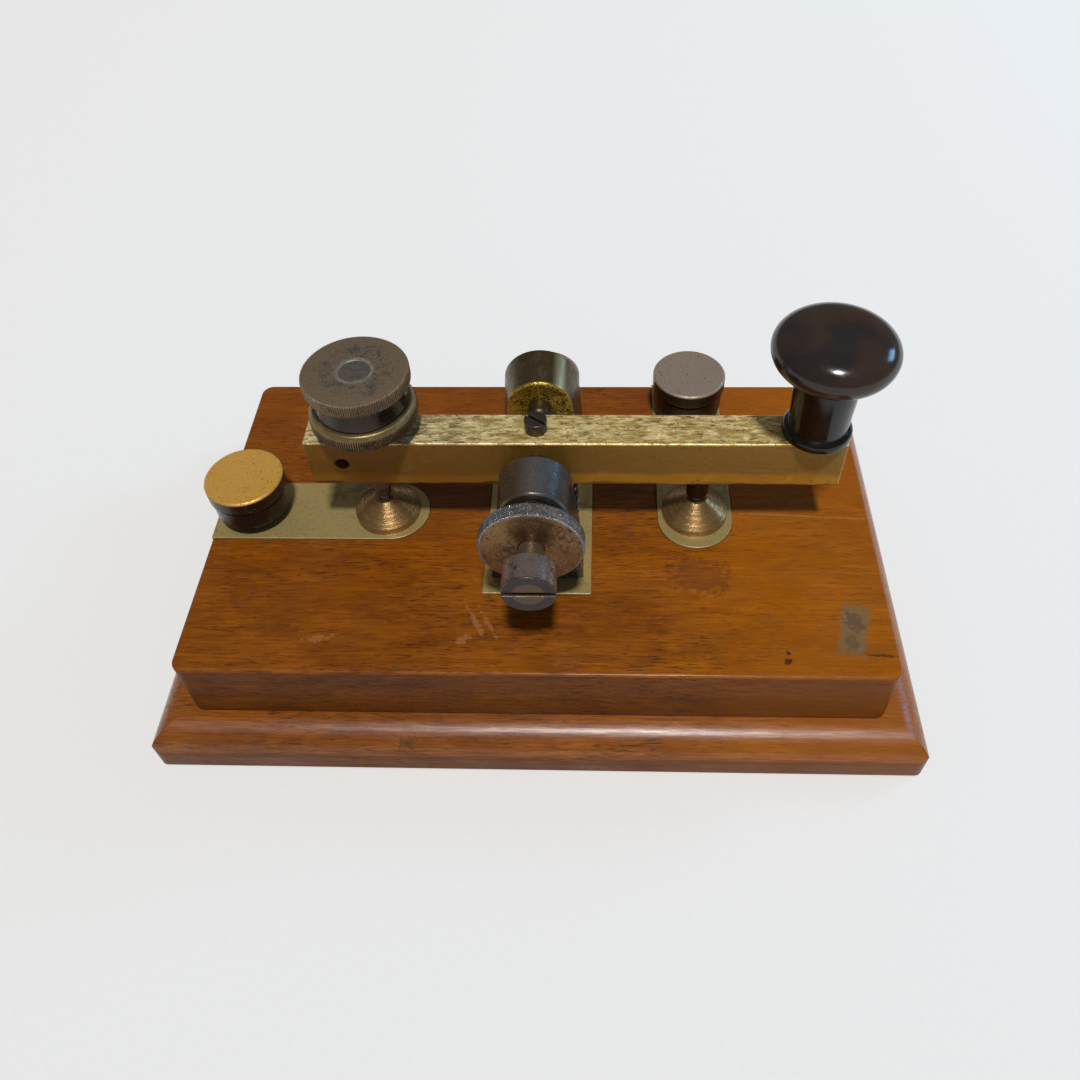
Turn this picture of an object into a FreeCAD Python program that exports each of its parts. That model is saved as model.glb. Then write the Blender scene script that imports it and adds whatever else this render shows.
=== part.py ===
import FreeCAD, Part
import math
import os

from FreeCAD import Vector

# Morse key: a hand key for telegraph work on a two-step wooden base.
# Frame: origin at the centre of the underside, +X towards the operator's knob, +Z up.
# All sizes are millimetres.

# Base boards
plinth_length = 167.4
plinth_width = 101.6
plinth_height = 11.2
plinth_corner = 2.5
plinth_edge_round = 6.5
plinth_foot_round = 0.8
block_length = 149.6
block_width = 86.1
block_height = 16.3
block_corner = 2.8
block_edge_round = 0.6

# Screws that hold the plinth to the block
base_screw_inset = 13.0
base_screw_radius = 1.9
base_screw_head_radius = 3.8
base_screw_sunk = 0.6
base_screw_grip = 9.0

# Brass straps let into the top of the block
strap_thickness = 1.2
strap_proud = 0.4
strap_width = 16.8
back_strap_overrun = 1.1
front_strap_overrun = 2.0
plate_width = 23.5
plate_front = 23.2
plate_back = 25.0

# Pivot line of the lever
pivot_x = 0.1
pivot_rise = 20.5
standard_foot_width = 20.0
front_boss_near_radius = 7.15
front_boss_far_radius = 7.7
front_boss_inner = 9.0
front_boss_length = 10.0
rear_boss_near_radius = 7.2
rear_boss_far_radius = 8.5
rear_boss_inner = 13.0
rear_boss_to_terminal = 2.6
standard_edge = 0.35
bridge_screw_radius = 1.9
bridge_screw_head_radius = 3.4
bridge_screw_head_height = 2.2
bridge_screw_spread = 10.0
bridge_screw_grip = 8.0

# Pivot screws and the lock nut on the front one
pivot_screw_radius = 2.6
pivot_head_radius = 5.35
pivot_head_length = 6.0
pivot_neck_length = 4.8
pivot_slot_width = 1.3
pivot_slot_depth = 1.6
lock_hub_radius = 6.0
lock_hub_length = 5.0
lock_flange_radius = 10.65
lock_flange_length = 3.2
arbor_radius = 3.0
arbor_half_length = 8.0
cup_radius = 1.5
cup_depth = 2.4

# Lever
lever_back_reach = 48.8
lever_front_reach = 64.5
lever_width = 8.9
lever_depth = 12.4
lever_edge = 0.35
lever_cross_hole_radius = 1.6
lever_cross_hole_inset = 7.3
set_screw_head_radius = 2.4
set_screw_head_height = 2.9
set_screw_shank_radius = 1.5
set_screw_slot_width = 0.7
set_screw_slot_depth = 1.0
set_screw_slot_angle = -36.0

# Contacts
contact_reach = 35.3
anvil_radius = 7.4
anvil_rim = 1.5
anvil_height = 5.4
anvil_crown_radius = 2.4
anvil_tip_radius = 1.2
anvil_tip_proud = 0.45
tip_depth = 1.0
contact_gap = 0.65
back_rest_gap = 0.05
stud_foot_radius = 2.4
stud_shank_radius = 1.6
stud_shank_length = 7.0
tip_radius = 1.1
tip_proud = 0.8

# Adjusting screw, its knob and its lock nut
screw_radius = 3.0
screw_point_radius = 1.65
screw_point_length = 4.0
nut_hub_radius = 6.0
nut_hub_height = 4.2
nut_flange_radius = 11.2
nut_flange_height = 2.5
nut_bevel_height = 1.1
nut_bevel_radius = 10.2
waist_height = 5.2
waist_low_radius = 9.6
waist_high_radius = 8.8
disc_radius = 10.9
disc_height = 2.86
disc_bore_bevel = 0.3

# Operator's knob
knob_arm = 58.35
knob_height = 25.9
knob_radius = 12.35
knob_crown_height = 4.4
knob_under_height = 4.8
knob_stem_radius = 6.2
knob_neck_radius = 6.6
knob_foot_radius = 7.2
knob_foot_height = 1.6
knob_dish_radius = 6.0
knob_dish_depth = 0.4
knob_screw_radius = 2.0
knob_screw_head_radius = 3.6
knob_screw_head_height = 2.0
knob_screw_grip = 14.0

# Terminals
left_terminal_inset = 8.4
rear_terminal_inset = 8.7
middle_terminal_shift = -0.4
post_radius = 8.3
post_height = 7.35
post_foot_radius = 5.0
post_foot_height = 3.1
clamp_washer_radius = 7.6
clamp_washer_thickness = 0.5
head_radius = 8.75
head_thickness = 3.8
head_edge = 0.4
head_screw_radius = 2.0
head_screw_grip = 5.4

# Studs, washers and nuts under the block
stud_radius = 2.35
stud_end_gap = 0.8
recess_radius = 5.6
recess_depth = 6.5
washer_radius = 5.0
washer_thickness = 0.9
nut_across_flats = 8.2
nut_thickness = 3.6

# Return spring and its guide pin
spring_arm = 5.9
spring_radius = 2.6
spring_wire = 0.7
spring_turns = 6
spring_end_bend = 1.0
spring_pocket_depth = 1.0
guide_radius = 1.4
guide_height = 6.0
guide_sunk = 4.0

# Clearances
running_fit = 0.05
seat_gap = 0.02
inlay_play = 0.05
thread_play = 0.03
hole_play = 0.15
spring_play = 0.4
nut_knob_gap = 0.3
touch = 0.01

# Heights and places that follow from the sizes above
block_top = plinth_height + block_height
strap_top = block_top + strap_proud
strap_bottom = strap_top - strap_thickness
pivot_z = strap_top + pivot_rise
lever_top = pivot_z + lever_depth / 2
lever_bottom = pivot_z - lever_depth / 2
lever_back = pivot_x - lever_back_reach
lever_front = pivot_x + lever_front_reach
recess_top = plinth_height + recess_depth
anvil_top = strap_top + anvil_height
contact_z = anvil_top + anvil_tip_proud
back_contact_x = -contact_reach
front_contact_x = contact_reach
knob_x = pivot_x + knob_arm
spring_x = pivot_x + spring_arm
rear_terminal_y = block_width / 2 - rear_terminal_inset
rear_boss_outer = rear_terminal_y - head_radius - rear_boss_to_terminal
rear_boss_length = rear_boss_outer - rear_boss_inner
terminals = {
    "left": (-block_length / 2 + left_terminal_inset, 0.0),
    "middle": (pivot_x + middle_terminal_shift, rear_terminal_y),
    "right": (front_contact_x, rear_terminal_y),
}
anvils = {
    "back": (back_contact_x, 0.0),
    "front": (front_contact_x, 0.0),
}
strap_half = strap_width / 2

UP = Vector(0, 0, 1)
BACK = Vector(0, 1, 0)
ALONG = Vector(1, 0, 0)


# Building blocks

def box(low, high):
    """A block between two opposite corners."""
    size = Vector(*high) - Vector(*low)
    return Part.makeBox(size.x, size.y, size.z, Vector(*low))


def rod(place, low, high, radius):
    """An upright cylinder at (x, y) from one height to another."""
    return Part.makeCylinder(radius, high - low, Vector(place[0], place[1], low), UP)


def cross_rod(low, high, radius):
    """A cylinder on the pivot line from one y to another."""
    return Part.makeCylinder(radius, high - low, Vector(pivot_x, low, pivot_z), BACK)


def closed_face(points):
    """A flat face from its corners in order. A pair of points is an arc: one on it, and its end."""
    ends = [step[-1] if isinstance(step, tuple) else step for step in points]
    edges = []
    for index, step in enumerate(points):
        start = ends[index - 1]
        if isinstance(step, tuple):
            edges.append(Part.Arc(start, step[0], step[1]).toShape())
        elif start.distanceToPoint(step) > 1e-6:
            edges.append(Part.LineSegment(start, step).toShape())
    return Part.Face(Part.Wire(edges))


def turned(place, outline):
    """A solid turned about the upright line at (x, y), from (radius, height) pairs."""
    corners = []
    for step in outline:
        if isinstance(step[0], tuple):
            corners.append(tuple(Vector(radius, 0, height) for radius, height in step))
        else:
            corners.append(Vector(step[0], 0, step[1]))
    solid = closed_face(corners).revolve(Vector(0, 0, 0), UP, 360)
    solid.translate(Vector(place[0], place[1], 0))
    return solid


def pivot_turned(outline):
    """A solid turned about the pivot line, from (radius, y) pairs."""
    corners = [Vector(radius, y, 0) for radius, y in outline]
    solid = closed_face(corners).revolve(Vector(0, 0, 0), BACK, 360)
    solid.translate(Vector(pivot_x, 0, pivot_z))
    return solid


def rounded_box(low, high, corner):
    """A block whose four upright edges are rounded."""
    solid = box(low, high)
    upright = [edge for edge in solid.Edges if abs(edge.tangentAt(edge.FirstParameter).z) > 0.99]
    return solid.makeFillet(corner, upright)


def group(solids):
    """Separate solids of one kind, kept together."""
    return Part.makeCompound(solids)


# Base boards

def board_side(half_width, swap):
    """The end section of the plinth, run along the board in x, or in y where swap is set."""
    top_flat = half_width - plinth_edge_round
    shoulder = plinth_height - plinth_edge_round
    foot_flat = half_width - plinth_foot_round
    slant = math.sqrt(0.5)
    bulge = top_flat + plinth_edge_round * slant
    crest = shoulder + plinth_edge_round * slant
    heel = foot_flat + plinth_foot_round * slant
    toe = plinth_foot_round * (1 - slant)
    outline = [(-foot_flat, 0), (foot_flat, 0), ((heel, toe), (half_width, plinth_foot_round)),
               (half_width, shoulder), ((bulge, crest), (top_flat, plinth_height)),
               (-top_flat, plinth_height), ((-bulge, crest), (-half_width, shoulder)),
               (-half_width, plinth_foot_round), ((-heel, toe), (-foot_flat, 0))]
    run = max(plinth_length, plinth_width)

    def place(point):
        if swap:
            return Vector(point[0], -run / 2, point[1])
        return Vector(-run / 2, point[0], point[1])

    corners = []
    for step in outline:
        if isinstance(step[0], tuple):
            corners.append(tuple(place(point) for point in step))
        else:
            corners.append(place(step))
    return closed_face(corners).extrude((BACK if swap else ALONG) * run)


def base_screw_places():
    """The four screws stand in from the corners of the block."""
    x = block_length / 2 - base_screw_inset
    y = block_width / 2 - base_screw_inset
    return [(side * x, end * y) for side in (-1, 1) for end in (-1, 1)]


def base_screw(place, play):
    """A countersunk wood screw from under the plinth, grown by the play for its hole."""
    head = base_screw_head_radius + play
    shank = base_screw_radius + play
    neck = base_screw_sunk + base_screw_head_radius - base_screw_radius
    tip = plinth_height + base_screw_grip + play
    shoulder = tip - 2 * base_screw_radius
    bottom = base_screw_sunk if play == 0 else -play
    return turned(place, [(0, bottom), (head, bottom), (head, base_screw_sunk),
                          (shank, neck), (shank, shoulder), (0, tip)])


def make_base_plinth():
    """The lower board, its upper edge a large quarter round that is mitred at the corners."""
    plinth = board_side(plinth_width / 2, False).common(board_side(plinth_length / 2, True))
    x = plinth_length / 2
    y = plinth_width / 2
    plinth = plinth.common(rounded_box((-x, -y, 0), (x, y, plinth_height), plinth_corner))
    return plinth.cut([base_screw(place, hole_play) for place in base_screw_places()])


def make_base_screws():
    """Four wood screws up through the plinth into the block."""
    return group([base_screw(place, 0) for place in base_screw_places()])


def stud_places():
    """Where a stud goes down through the block."""
    return list(anvils.values()) + list(terminals.values())


def bridge_screw_places():
    """Two screws up into each standard."""
    front = -front_boss_inner - front_boss_length / 2
    rear = rear_boss_inner + rear_boss_length / 2
    half = bridge_screw_spread / 2
    return [(pivot_x + side * half, y) for y in (front, rear) for side in (-1, 1)]


def make_base_block():
    """The upper block, with beds for the straps, stud holes and recesses for the nuts below."""
    x = block_length / 2
    y = block_width / 2
    block = rounded_box((-x, -y, plinth_height), (x, y, block_top), block_corner)
    rim = [edge for edge in block.Edges if edge.BoundBox.ZMin > block_top - touch]
    block = block.makeFillet(block_edge_round, rim)
    cuts = [strap_body(name, inlay_play, block_top + strap_thickness) for name in STRAPS]
    for place in stud_places():
        cuts.append(rod(place, plinth_height, block_top, stud_radius + hole_play))
        cuts.append(rod(place, plinth_height, recess_top, recess_radius))
    for place in bridge_screw_places():
        cuts.append(rod(place, plinth_height, block_top, bridge_screw_radius + hole_play))
        cuts.append(rod(place, plinth_height, recess_top, bridge_screw_head_radius + hole_play * 2))
    cuts += [base_screw(place, hole_play) for place in base_screw_places()]
    cuts.append(rod((spring_x, 0), strap_bottom - guide_sunk, block_top, guide_radius))
    return block.cut(cuts)


# Straps

def strap_body(name, play, top):
    """The solid of one strap, grown by the play for its bed in the block."""
    half = strap_half + play
    if name == "back_strap":
        end = back_contact_x + back_strap_overrun
        run = box((-block_length / 2 - play, -half, strap_bottom), (end, half, top))
        return run.fuse(rod((end, 0), strap_bottom, top, half)).removeSplitter()
    if name == "front_strap":
        x = front_contact_x
        run = box((x - half, -front_strap_overrun, strap_bottom), (x + half, block_width / 2 + play, top))
        return run.fuse(rod((x, -front_strap_overrun), strap_bottom, top, half)).removeSplitter()
    wide = plate_width / 2 + play
    plate = box((pivot_x - wide, -plate_front - play, strap_bottom),
                (pivot_x + wide, plate_back + play, top))
    x = terminals["middle"][0]
    tail = box((x - half, 0, strap_bottom), (x + half, block_width / 2 + play, top))
    return plate.fuse(tail).removeSplitter()


STRAPS = ("back_strap", "bridge_strap", "front_strap")


def make_strap(name):
    """A strap with the holes for what stands on it."""
    strap = strap_body(name, 0, strap_top)
    cuts = [rod(place, strap_bottom, strap_top, stud_radius + hole_play) for place in stud_places()]
    for place in bridge_screw_places():
        cuts.append(rod(place, strap_bottom, strap_top, bridge_screw_radius + hole_play))
    cuts.append(rod((spring_x, 0), strap_bottom, strap_top, guide_radius))
    return strap.cut(cuts)


# Bridge

def tangent_point(foot, radius):
    """Where a line from the foot of a flank, (x, z) from the pivot line, meets the boss."""
    reach = math.hypot(foot[0], foot[1])
    slope = math.atan2(foot[1], foot[0])
    turn = math.acos(radius / reach)
    return radius * math.cos(slope + turn), radius * math.sin(slope + turn)


def standard(near_radius, far_radius, low_y, high_y):
    """An upright that tapers from a wide foot to a round boss, whose radius grows a little to the back."""
    half = standard_foot_width / 2

    def outline(radius, y):
        side_x, side_z = tangent_point((half, -pivot_rise), radius)
        left_foot = Vector(pivot_x - half, y, strap_top)
        right_foot = Vector(pivot_x + half, y, strap_top)
        left_side = Vector(pivot_x - side_x, y, pivot_z + side_z)
        right_side = Vector(pivot_x + side_x, y, pivot_z + side_z)
        crown = Vector(pivot_x, y, pivot_z + radius)
        return Part.Wire([
            Part.LineSegment(left_foot, right_foot).toShape(),
            Part.LineSegment(right_foot, right_side).toShape(),
            Part.Arc(right_side, crown, left_side).toShape(),
            Part.LineSegment(left_side, left_foot).toShape()])

    solid = Part.makeLoft([outline(near_radius, low_y), outline(far_radius, high_y)], True, True)
    ends = [edge for edge in solid.Edges
            if edge.BoundBox.YLength < touch and edge.BoundBox.ZMax > strap_top + touch]
    solid = solid.makeChamfer(standard_edge, ends)
    cuts = []
    for place in bridge_screw_places():
        cuts.append(rod(place, strap_top, strap_top + bridge_screw_grip, bridge_screw_radius))
    return solid.cut(cuts)


def make_front_standard():
    """The upright nearer the viewer, bored for the adjustable pivot screw."""
    outer = front_boss_inner + front_boss_length
    solid = standard(front_boss_near_radius, front_boss_far_radius, -outer, -front_boss_inner)
    return solid.cut(cross_rod(-outer, -front_boss_inner, pivot_screw_radius + running_fit))


def make_rear_standard():
    """The far upright, bored for the fixed pivot screw."""
    outer = rear_boss_inner + rear_boss_length
    solid = standard(rear_boss_near_radius, rear_boss_far_radius, rear_boss_inner, outer)
    return solid.cut(cross_rod(rear_boss_inner, outer, pivot_screw_radius))


def make_bridge_screws():
    """Cheese head screws from the recesses up through block and strap into the standards."""
    solids = []
    for place in bridge_screw_places():
        head = rod(place, recess_top - bridge_screw_head_height, recess_top, bridge_screw_head_radius)
        shank = rod(place, recess_top, strap_top + bridge_screw_grip, bridge_screw_radius)
        solids.append(head.fuse(shank))
    return group(solids)


# Pivots

def point_outline(side):
    """Radius and y of a pivot point that stands a running gap back from the arbor's cup."""
    slope = cup_radius / cup_depth
    apex = arbor_half_length - cup_depth + running_fit / slope
    blunt = 0.2
    return [(0, side * (apex + blunt / slope)), (blunt, side * (apex + blunt / slope)),
            (pivot_screw_radius, side * (apex + pivot_screw_radius / slope))]


def make_front_pivot_screw():
    """The adjustable pivot: coned point, plain thread line, round head with a level slot."""
    nut_face = front_boss_inner + front_boss_length + lock_hub_length + lock_flange_length
    head = nut_face + pivot_neck_length
    end = head + pivot_head_length
    screw = pivot_turned(point_outline(-1) + [(pivot_screw_radius, -head), (pivot_head_radius, -head),
                                              (pivot_head_radius, -end), (0, -end)])
    half = pivot_slot_width / 2
    slot = box((pivot_x - pivot_head_radius, -end, pivot_z - half),
               (pivot_x + pivot_head_radius, -end + pivot_slot_depth, pivot_z + half))
    return screw.cut(slot)


def make_front_lock_nut():
    """A flanged nut that locks the front pivot screw against its boss."""
    near = front_boss_inner + front_boss_length + seat_gap
    step = front_boss_inner + front_boss_length + lock_hub_length
    far = step + lock_flange_length
    bore = pivot_screw_radius + running_fit
    return pivot_turned([(bore, -near), (lock_hub_radius, -near), (lock_hub_radius, -step),
                         (lock_flange_radius, -step), (lock_flange_radius, -far), (bore, -far)])


def make_rear_pivot_screw():
    """The fixed pivot: coned point and a headless slotted end, flush with the boss."""
    end = rear_boss_inner + rear_boss_length
    screw = pivot_turned(point_outline(1) + [(pivot_screw_radius, end), (0, end)])
    half = pivot_slot_width / 2
    slot = box((pivot_x - pivot_screw_radius, end - pivot_slot_depth, pivot_z - half),
               (pivot_x + pivot_screw_radius, end, pivot_z + half))
    return screw.cut(slot)


def make_lever_arbor():
    """The cross shaft of the lever, with a coned cup in each end."""
    half = arbor_half_length
    return pivot_turned([(0, -half + cup_depth), (cup_radius, -half), (arbor_radius, -half),
                         (arbor_radius, half), (cup_radius, half), (0, half - cup_depth)])


# Lever

def make_lever_bar():
    """The rocking bar with its holes for the arbor, the screws, the contact stud and the spring."""
    half = lever_width / 2
    bar = box((lever_back, -half, lever_bottom), (lever_front, half, lever_top))
    bar = bar.makeFillet(lever_edge, bar.Edges)
    cross_x = lever_back + lever_cross_hole_inset
    cross = Part.makeCylinder(lever_cross_hole_radius, lever_width,
                              Vector(cross_x, -half, pivot_z), BACK)
    pocket_top = lever_bottom + spring_pocket_depth
    pocket_radius = spring_radius + spring_wire / 2 + spring_play
    cuts = [
        cross_rod(-half, half, arbor_radius),
        rod((pivot_x, 0), pivot_z, lever_top, set_screw_shank_radius),
        cross,
        rod(anvils["back"], lever_bottom, lever_top, screw_radius + running_fit),
        rod(anvils["front"], lever_bottom, lever_bottom + stud_shank_length, stud_shank_radius),
        knob_screw_body(hole_play),
        rod((spring_x, 0), lever_bottom, pocket_top, pocket_radius),
    ]
    return bar.cut(cuts)


def make_arbor_set_screw():
    """A cheese head screw that bears on the arbor, with a slanting slot."""
    head_top = lever_top + set_screw_head_height
    screw = turned((pivot_x, 0), [
        (0, pivot_z + arbor_radius), (set_screw_shank_radius, pivot_z + arbor_radius),
        (set_screw_shank_radius, lever_top), (set_screw_head_radius, lever_top),
        (set_screw_head_radius, head_top), (0, head_top)])
    radius = set_screw_head_radius
    half = set_screw_slot_width / 2
    slot = box((-radius, -half, head_top - set_screw_slot_depth), (radius, half, head_top))
    slot.rotate(Vector(0, 0, 0), UP, set_screw_slot_angle)
    slot.translate(Vector(pivot_x, 0, 0))
    return screw.cut(slot)


def make_front_contact_stud():
    """The stud under the lever that carries the moving contact."""
    foot = contact_z + contact_gap + tip_proud
    stud = turned(anvils["front"], [
        (0, foot), (stud_foot_radius, foot), (stud_foot_radius, lever_bottom),
        (stud_shank_radius, lever_bottom), (stud_shank_radius, lever_bottom + stud_shank_length),
        (0, lever_bottom + stud_shank_length)])
    return stud.cut(rod(anvils["front"], foot, foot + tip_depth, tip_radius))


def make_lever_contact_tip():
    """The contact metal let into the stud."""
    low = contact_z + contact_gap
    return rod(anvils["front"], low, low + tip_proud + tip_depth, tip_radius)


def knob_screw_body(play):
    """The screw from under the lever up into the knob, grown by the play for its hole."""
    head = knob_screw_head_radius + play
    shank = knob_screw_radius + play
    neck = lever_bottom + knob_screw_head_height
    top = lever_top if play else lever_top + knob_screw_grip
    return turned((knob_x, 0), [(0, lever_bottom), (head, lever_bottom), (shank, neck),
                                (shank, top), (0, top)])


def make_key_knob():
    """The operator's knob: a foot ring, a slim waisted stem and a flattened cap with a dish."""
    top = lever_top + knob_height
    middle = top - knob_crown_height
    neck = middle - knob_under_height
    foot = lever_top + knob_foot_height
    slant = math.sqrt(0.5)
    stem_mid = (foot + neck) / 2
    under = (knob_neck_radius + (knob_radius - knob_neck_radius) * slant,
             middle - (middle - neck) * slant)
    crown = (knob_dish_radius + (knob_radius - knob_dish_radius) * slant,
             middle + (top - middle) * slant)
    dish = top - knob_dish_depth
    knob = turned((knob_x, 0), [
        (0, lever_top), (knob_foot_radius, lever_top), (knob_foot_radius, foot),
        (knob_stem_radius, foot + (knob_foot_radius - knob_stem_radius)),
        ((knob_stem_radius, stem_mid), (knob_neck_radius, neck)),
        (under, (knob_radius, middle)), (crown, (knob_dish_radius, top)), (0, dish)])
    return knob.cut(rod((knob_x, 0), lever_top, lever_top + knob_screw_grip, knob_screw_radius))


# Back contact and its adjuster

def make_anvil(name):
    """A turned anvil: short rim, low cone, flat crown with a hole for its tip, and a stud below."""
    solid = turned(anvils[name], [
        (0, plinth_height + stud_end_gap), (stud_radius, plinth_height + stud_end_gap),
        (stud_radius, strap_top), (anvil_radius, strap_top), (anvil_radius, strap_top + anvil_rim),
        (anvil_crown_radius, anvil_top), (0, anvil_top)])
    return solid.cut(rod(anvils[name], anvil_top - tip_depth, anvil_top, anvil_tip_radius))


def make_anvil_tip(name):
    """The contact metal let into the crown of an anvil."""
    return rod(anvils[name], anvil_top - tip_depth, contact_z, anvil_tip_radius)


nut_base = lever_top + seat_gap
nut_step = lever_top + nut_hub_height
nut_edge = nut_step + nut_flange_height
nut_top = nut_edge + nut_bevel_height
waist_base = nut_top + nut_knob_gap
waist_top = waist_base + waist_height
disc_top = waist_top + disc_height
point_bottom = contact_z + back_rest_gap


def make_adjusting_lock_nut():
    """A flanged nut on the lever with a bevelled upper edge."""
    bore = screw_radius + running_fit
    return turned(anvils["back"], [
        (bore, nut_base), (nut_hub_radius, nut_base), (nut_hub_radius, nut_step),
        (nut_flange_radius, nut_step), (nut_flange_radius, nut_edge), (nut_bevel_radius, nut_top),
        (bore, nut_top)])


def make_adjusting_knob():
    """The finger disc of the adjusting screw on its tapering waist, with a bevelled bore."""
    bore = screw_radius + thread_play
    return turned(anvils["back"], [
        (bore, waist_base), (waist_low_radius, waist_base), (waist_high_radius, waist_top),
        (disc_radius, waist_top), (disc_radius, disc_top), (bore + disc_bore_bevel, disc_top),
        (bore, disc_top - disc_bore_bevel)])


def make_adjusting_screw():
    """The screw through the lever, with a slim lower end that carries its tip."""
    step = point_bottom + tip_proud + screw_point_length
    foot = point_bottom + tip_proud
    top = disc_top - disc_bore_bevel / 3
    screw = turned(anvils["back"], [
        (0, foot), (screw_point_radius, foot), (screw_point_radius, step),
        (screw_radius, step), (screw_radius, top), (0, top)])
    return screw.cut(rod(anvils["back"], foot, foot + tip_depth, tip_radius))


def make_adjusting_screw_tip():
    """The contact metal at the lower end of the adjusting screw."""
    return rod(anvils["back"], point_bottom, point_bottom + tip_proud + tip_depth, tip_radius)


# Terminals

post_top = strap_top + post_height
post_shoulder = strap_top + post_foot_height
clamp_top = post_top + clamp_washer_thickness
head_bottom = clamp_top + seat_gap
head_top = clamp_top + head_thickness


def make_terminal_post(name):
    """A round post on a narrower foot, drilled for the clamping screw, with a stud below."""
    post = turned(terminals[name], [
        (0, plinth_height + stud_end_gap), (stud_radius, plinth_height + stud_end_gap),
        (stud_radius, strap_top), (post_foot_radius, strap_top), (post_foot_radius, post_shoulder),
        (post_radius, post_shoulder), (post_radius, post_top), (0, post_top)])
    drill = head_screw_radius + running_fit
    return post.cut(rod(terminals[name], post_top - head_screw_grip - hole_play, post_top, drill))


def make_terminal_washer(name):
    """The washer between the post and the clamping head."""
    bore = head_screw_radius + hole_play
    return turned(terminals[name], [
        (bore, post_top + seat_gap), (clamp_washer_radius, post_top + seat_gap),
        (clamp_washer_radius, clamp_top), (bore, clamp_top)])


def make_terminal_head(name):
    """The clamping head, a plain disc with softened edges on a short screw."""
    rim = head_radius
    inner = head_radius - head_edge
    return turned(terminals[name], [
        (0, post_top - head_screw_grip), (head_screw_radius, post_top - head_screw_grip),
        (head_screw_radius, head_bottom), (inner, head_bottom), (rim, head_bottom + head_edge),
        (rim, head_top - head_edge), (inner, head_top), (0, head_top)])


# Washers and nuts in the recesses under the block

def make_stud_washers():
    """A washer on each stud, against the roof of its recess."""
    solids = []
    for place in stud_places():
        washer = rod(place, recess_top - washer_thickness, recess_top, washer_radius)
        solids.append(washer.cut(rod(place, plinth_height, recess_top, stud_radius + hole_play)))
    return group(solids)


def make_stud_nuts():
    """A hexagon nut on each stud, under its washer."""
    top = recess_top - washer_thickness
    corner = nut_across_flats / 2 / math.cos(math.pi / 6)
    solids = []
    for x, y in stud_places():
        angles = [math.radians(60 * step) for step in range(6)]
        corners = [Vector(x + corner * math.cos(a), y + corner * math.sin(a), top - nut_thickness)
                   for a in angles]
        nut = closed_face(corners).extrude(UP * nut_thickness)
        solids.append(nut.cut(rod((x, y), plinth_height, top, stud_radius)))
    return group(solids)


# Return spring

def half_bend(start, control, end):
    """The arc that is tangent to both legs of a corner with equal legs."""
    middle = (start + end) * 0.5
    rise = control - middle
    chord = start.distanceToPoint(end) / 2
    turn = 2 * math.atan2(rise.Length, chord)
    sagitta = chord * math.tan(turn / 4)
    return Part.Arc(start, middle + rise * (sagitta / rise.Length), end).toShape()


def biarc(start, leave, end, arrive):
    """Two arcs that join two points with given directions, tangent where they meet."""
    span = end - start
    both = leave + arrive
    a = both.dot(both) - 4
    b = -2 * span.dot(both)
    c = span.dot(span)
    leg = (-b - math.sqrt(b * b - 4 * a * c)) / (2 * a)
    first = start + leave * leg
    second = end - arrive * leg
    join = (first + second) * 0.5
    return [half_bend(start, first, join), half_bend(join, second, end)]


def spring_route():
    """The wire's centre line: quarter turns of a helix, bent upright at both ends."""
    bottom = strap_top
    top = lever_bottom + spring_pocket_depth - seat_gap
    low = bottom + spring_wire + spring_end_bend
    high = top - spring_wire - spring_end_bend
    pitch = (high - low) / spring_turns
    climb = pitch / (2 * math.pi * spring_radius)
    steps = spring_turns * 4

    def on_helix(step):
        angle = step * math.pi / 2
        point = Vector(spring_x + spring_radius * math.cos(angle),
                       spring_radius * math.sin(angle), low + pitch * step / 4)
        direction = Vector(-math.sin(angle), math.cos(angle), climb)
        return point, direction.normalize()

    edges = []
    first, leave = on_helix(0)
    foot = first - Vector(0, spring_end_bend, spring_end_bend)
    edges.append(Part.LineSegment(Vector(foot.x, foot.y, bottom), foot).toShape())
    edges += biarc(foot, Vector(0, 0, 1), first, leave)
    for step in range(steps):
        start, leave = on_helix(step)
        end, arrive = on_helix(step + 1)
        edges += biarc(start, leave, end, arrive)
    last, arrive = on_helix(steps)
    crown = last + Vector(0, spring_end_bend, spring_end_bend)
    edges += biarc(last, arrive, crown, Vector(0, 0, 1))
    edges.append(Part.LineSegment(crown, Vector(crown.x, crown.y, top)).toShape())
    return Part.Wire(edges)


def least_self_gap(route):
    """The least gap between turns of the wire, measured between points along its centre line."""
    step = spring_wire / 4
    count = int(route.Length / step)
    points = route.discretize(count)
    apart = int(math.pi * spring_radius / step)
    least = min(points[i].distanceToPoint(points[j])
                for i in range(0, count - apart, 2) for j in range(i + apart, count))
    return least - spring_wire


def make_return_spring():
    """The coil spring that lifts the lever, as one unbroken round wire."""
    route = spring_route()
    start = route.Edges[0].Vertexes[0].Point
    section = Part.Wire(Part.makeCircle(spring_wire / 2, start, UP))
    sweep = Part.BRepOffsetAPI.MakePipeShell(route)
    sweep.add(section, False, False)
    sweep.build()
    sweep.makeSolid()
    wire = sweep.shape()
    print("spring least self gap %.2f mm" % least_self_gap(route))
    expected = route.Length * math.pi * spring_wire ** 2 / 4
    print("spring volume over section times length %.4f" % (wire.Volume / expected))
    return wire


def make_spring_guide():
    """The pin that stands in the spring and keeps it upright."""
    return rod((spring_x, 0), strap_bottom - guide_sunk, strap_top + guide_height, guide_radius)


# All nodes

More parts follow.
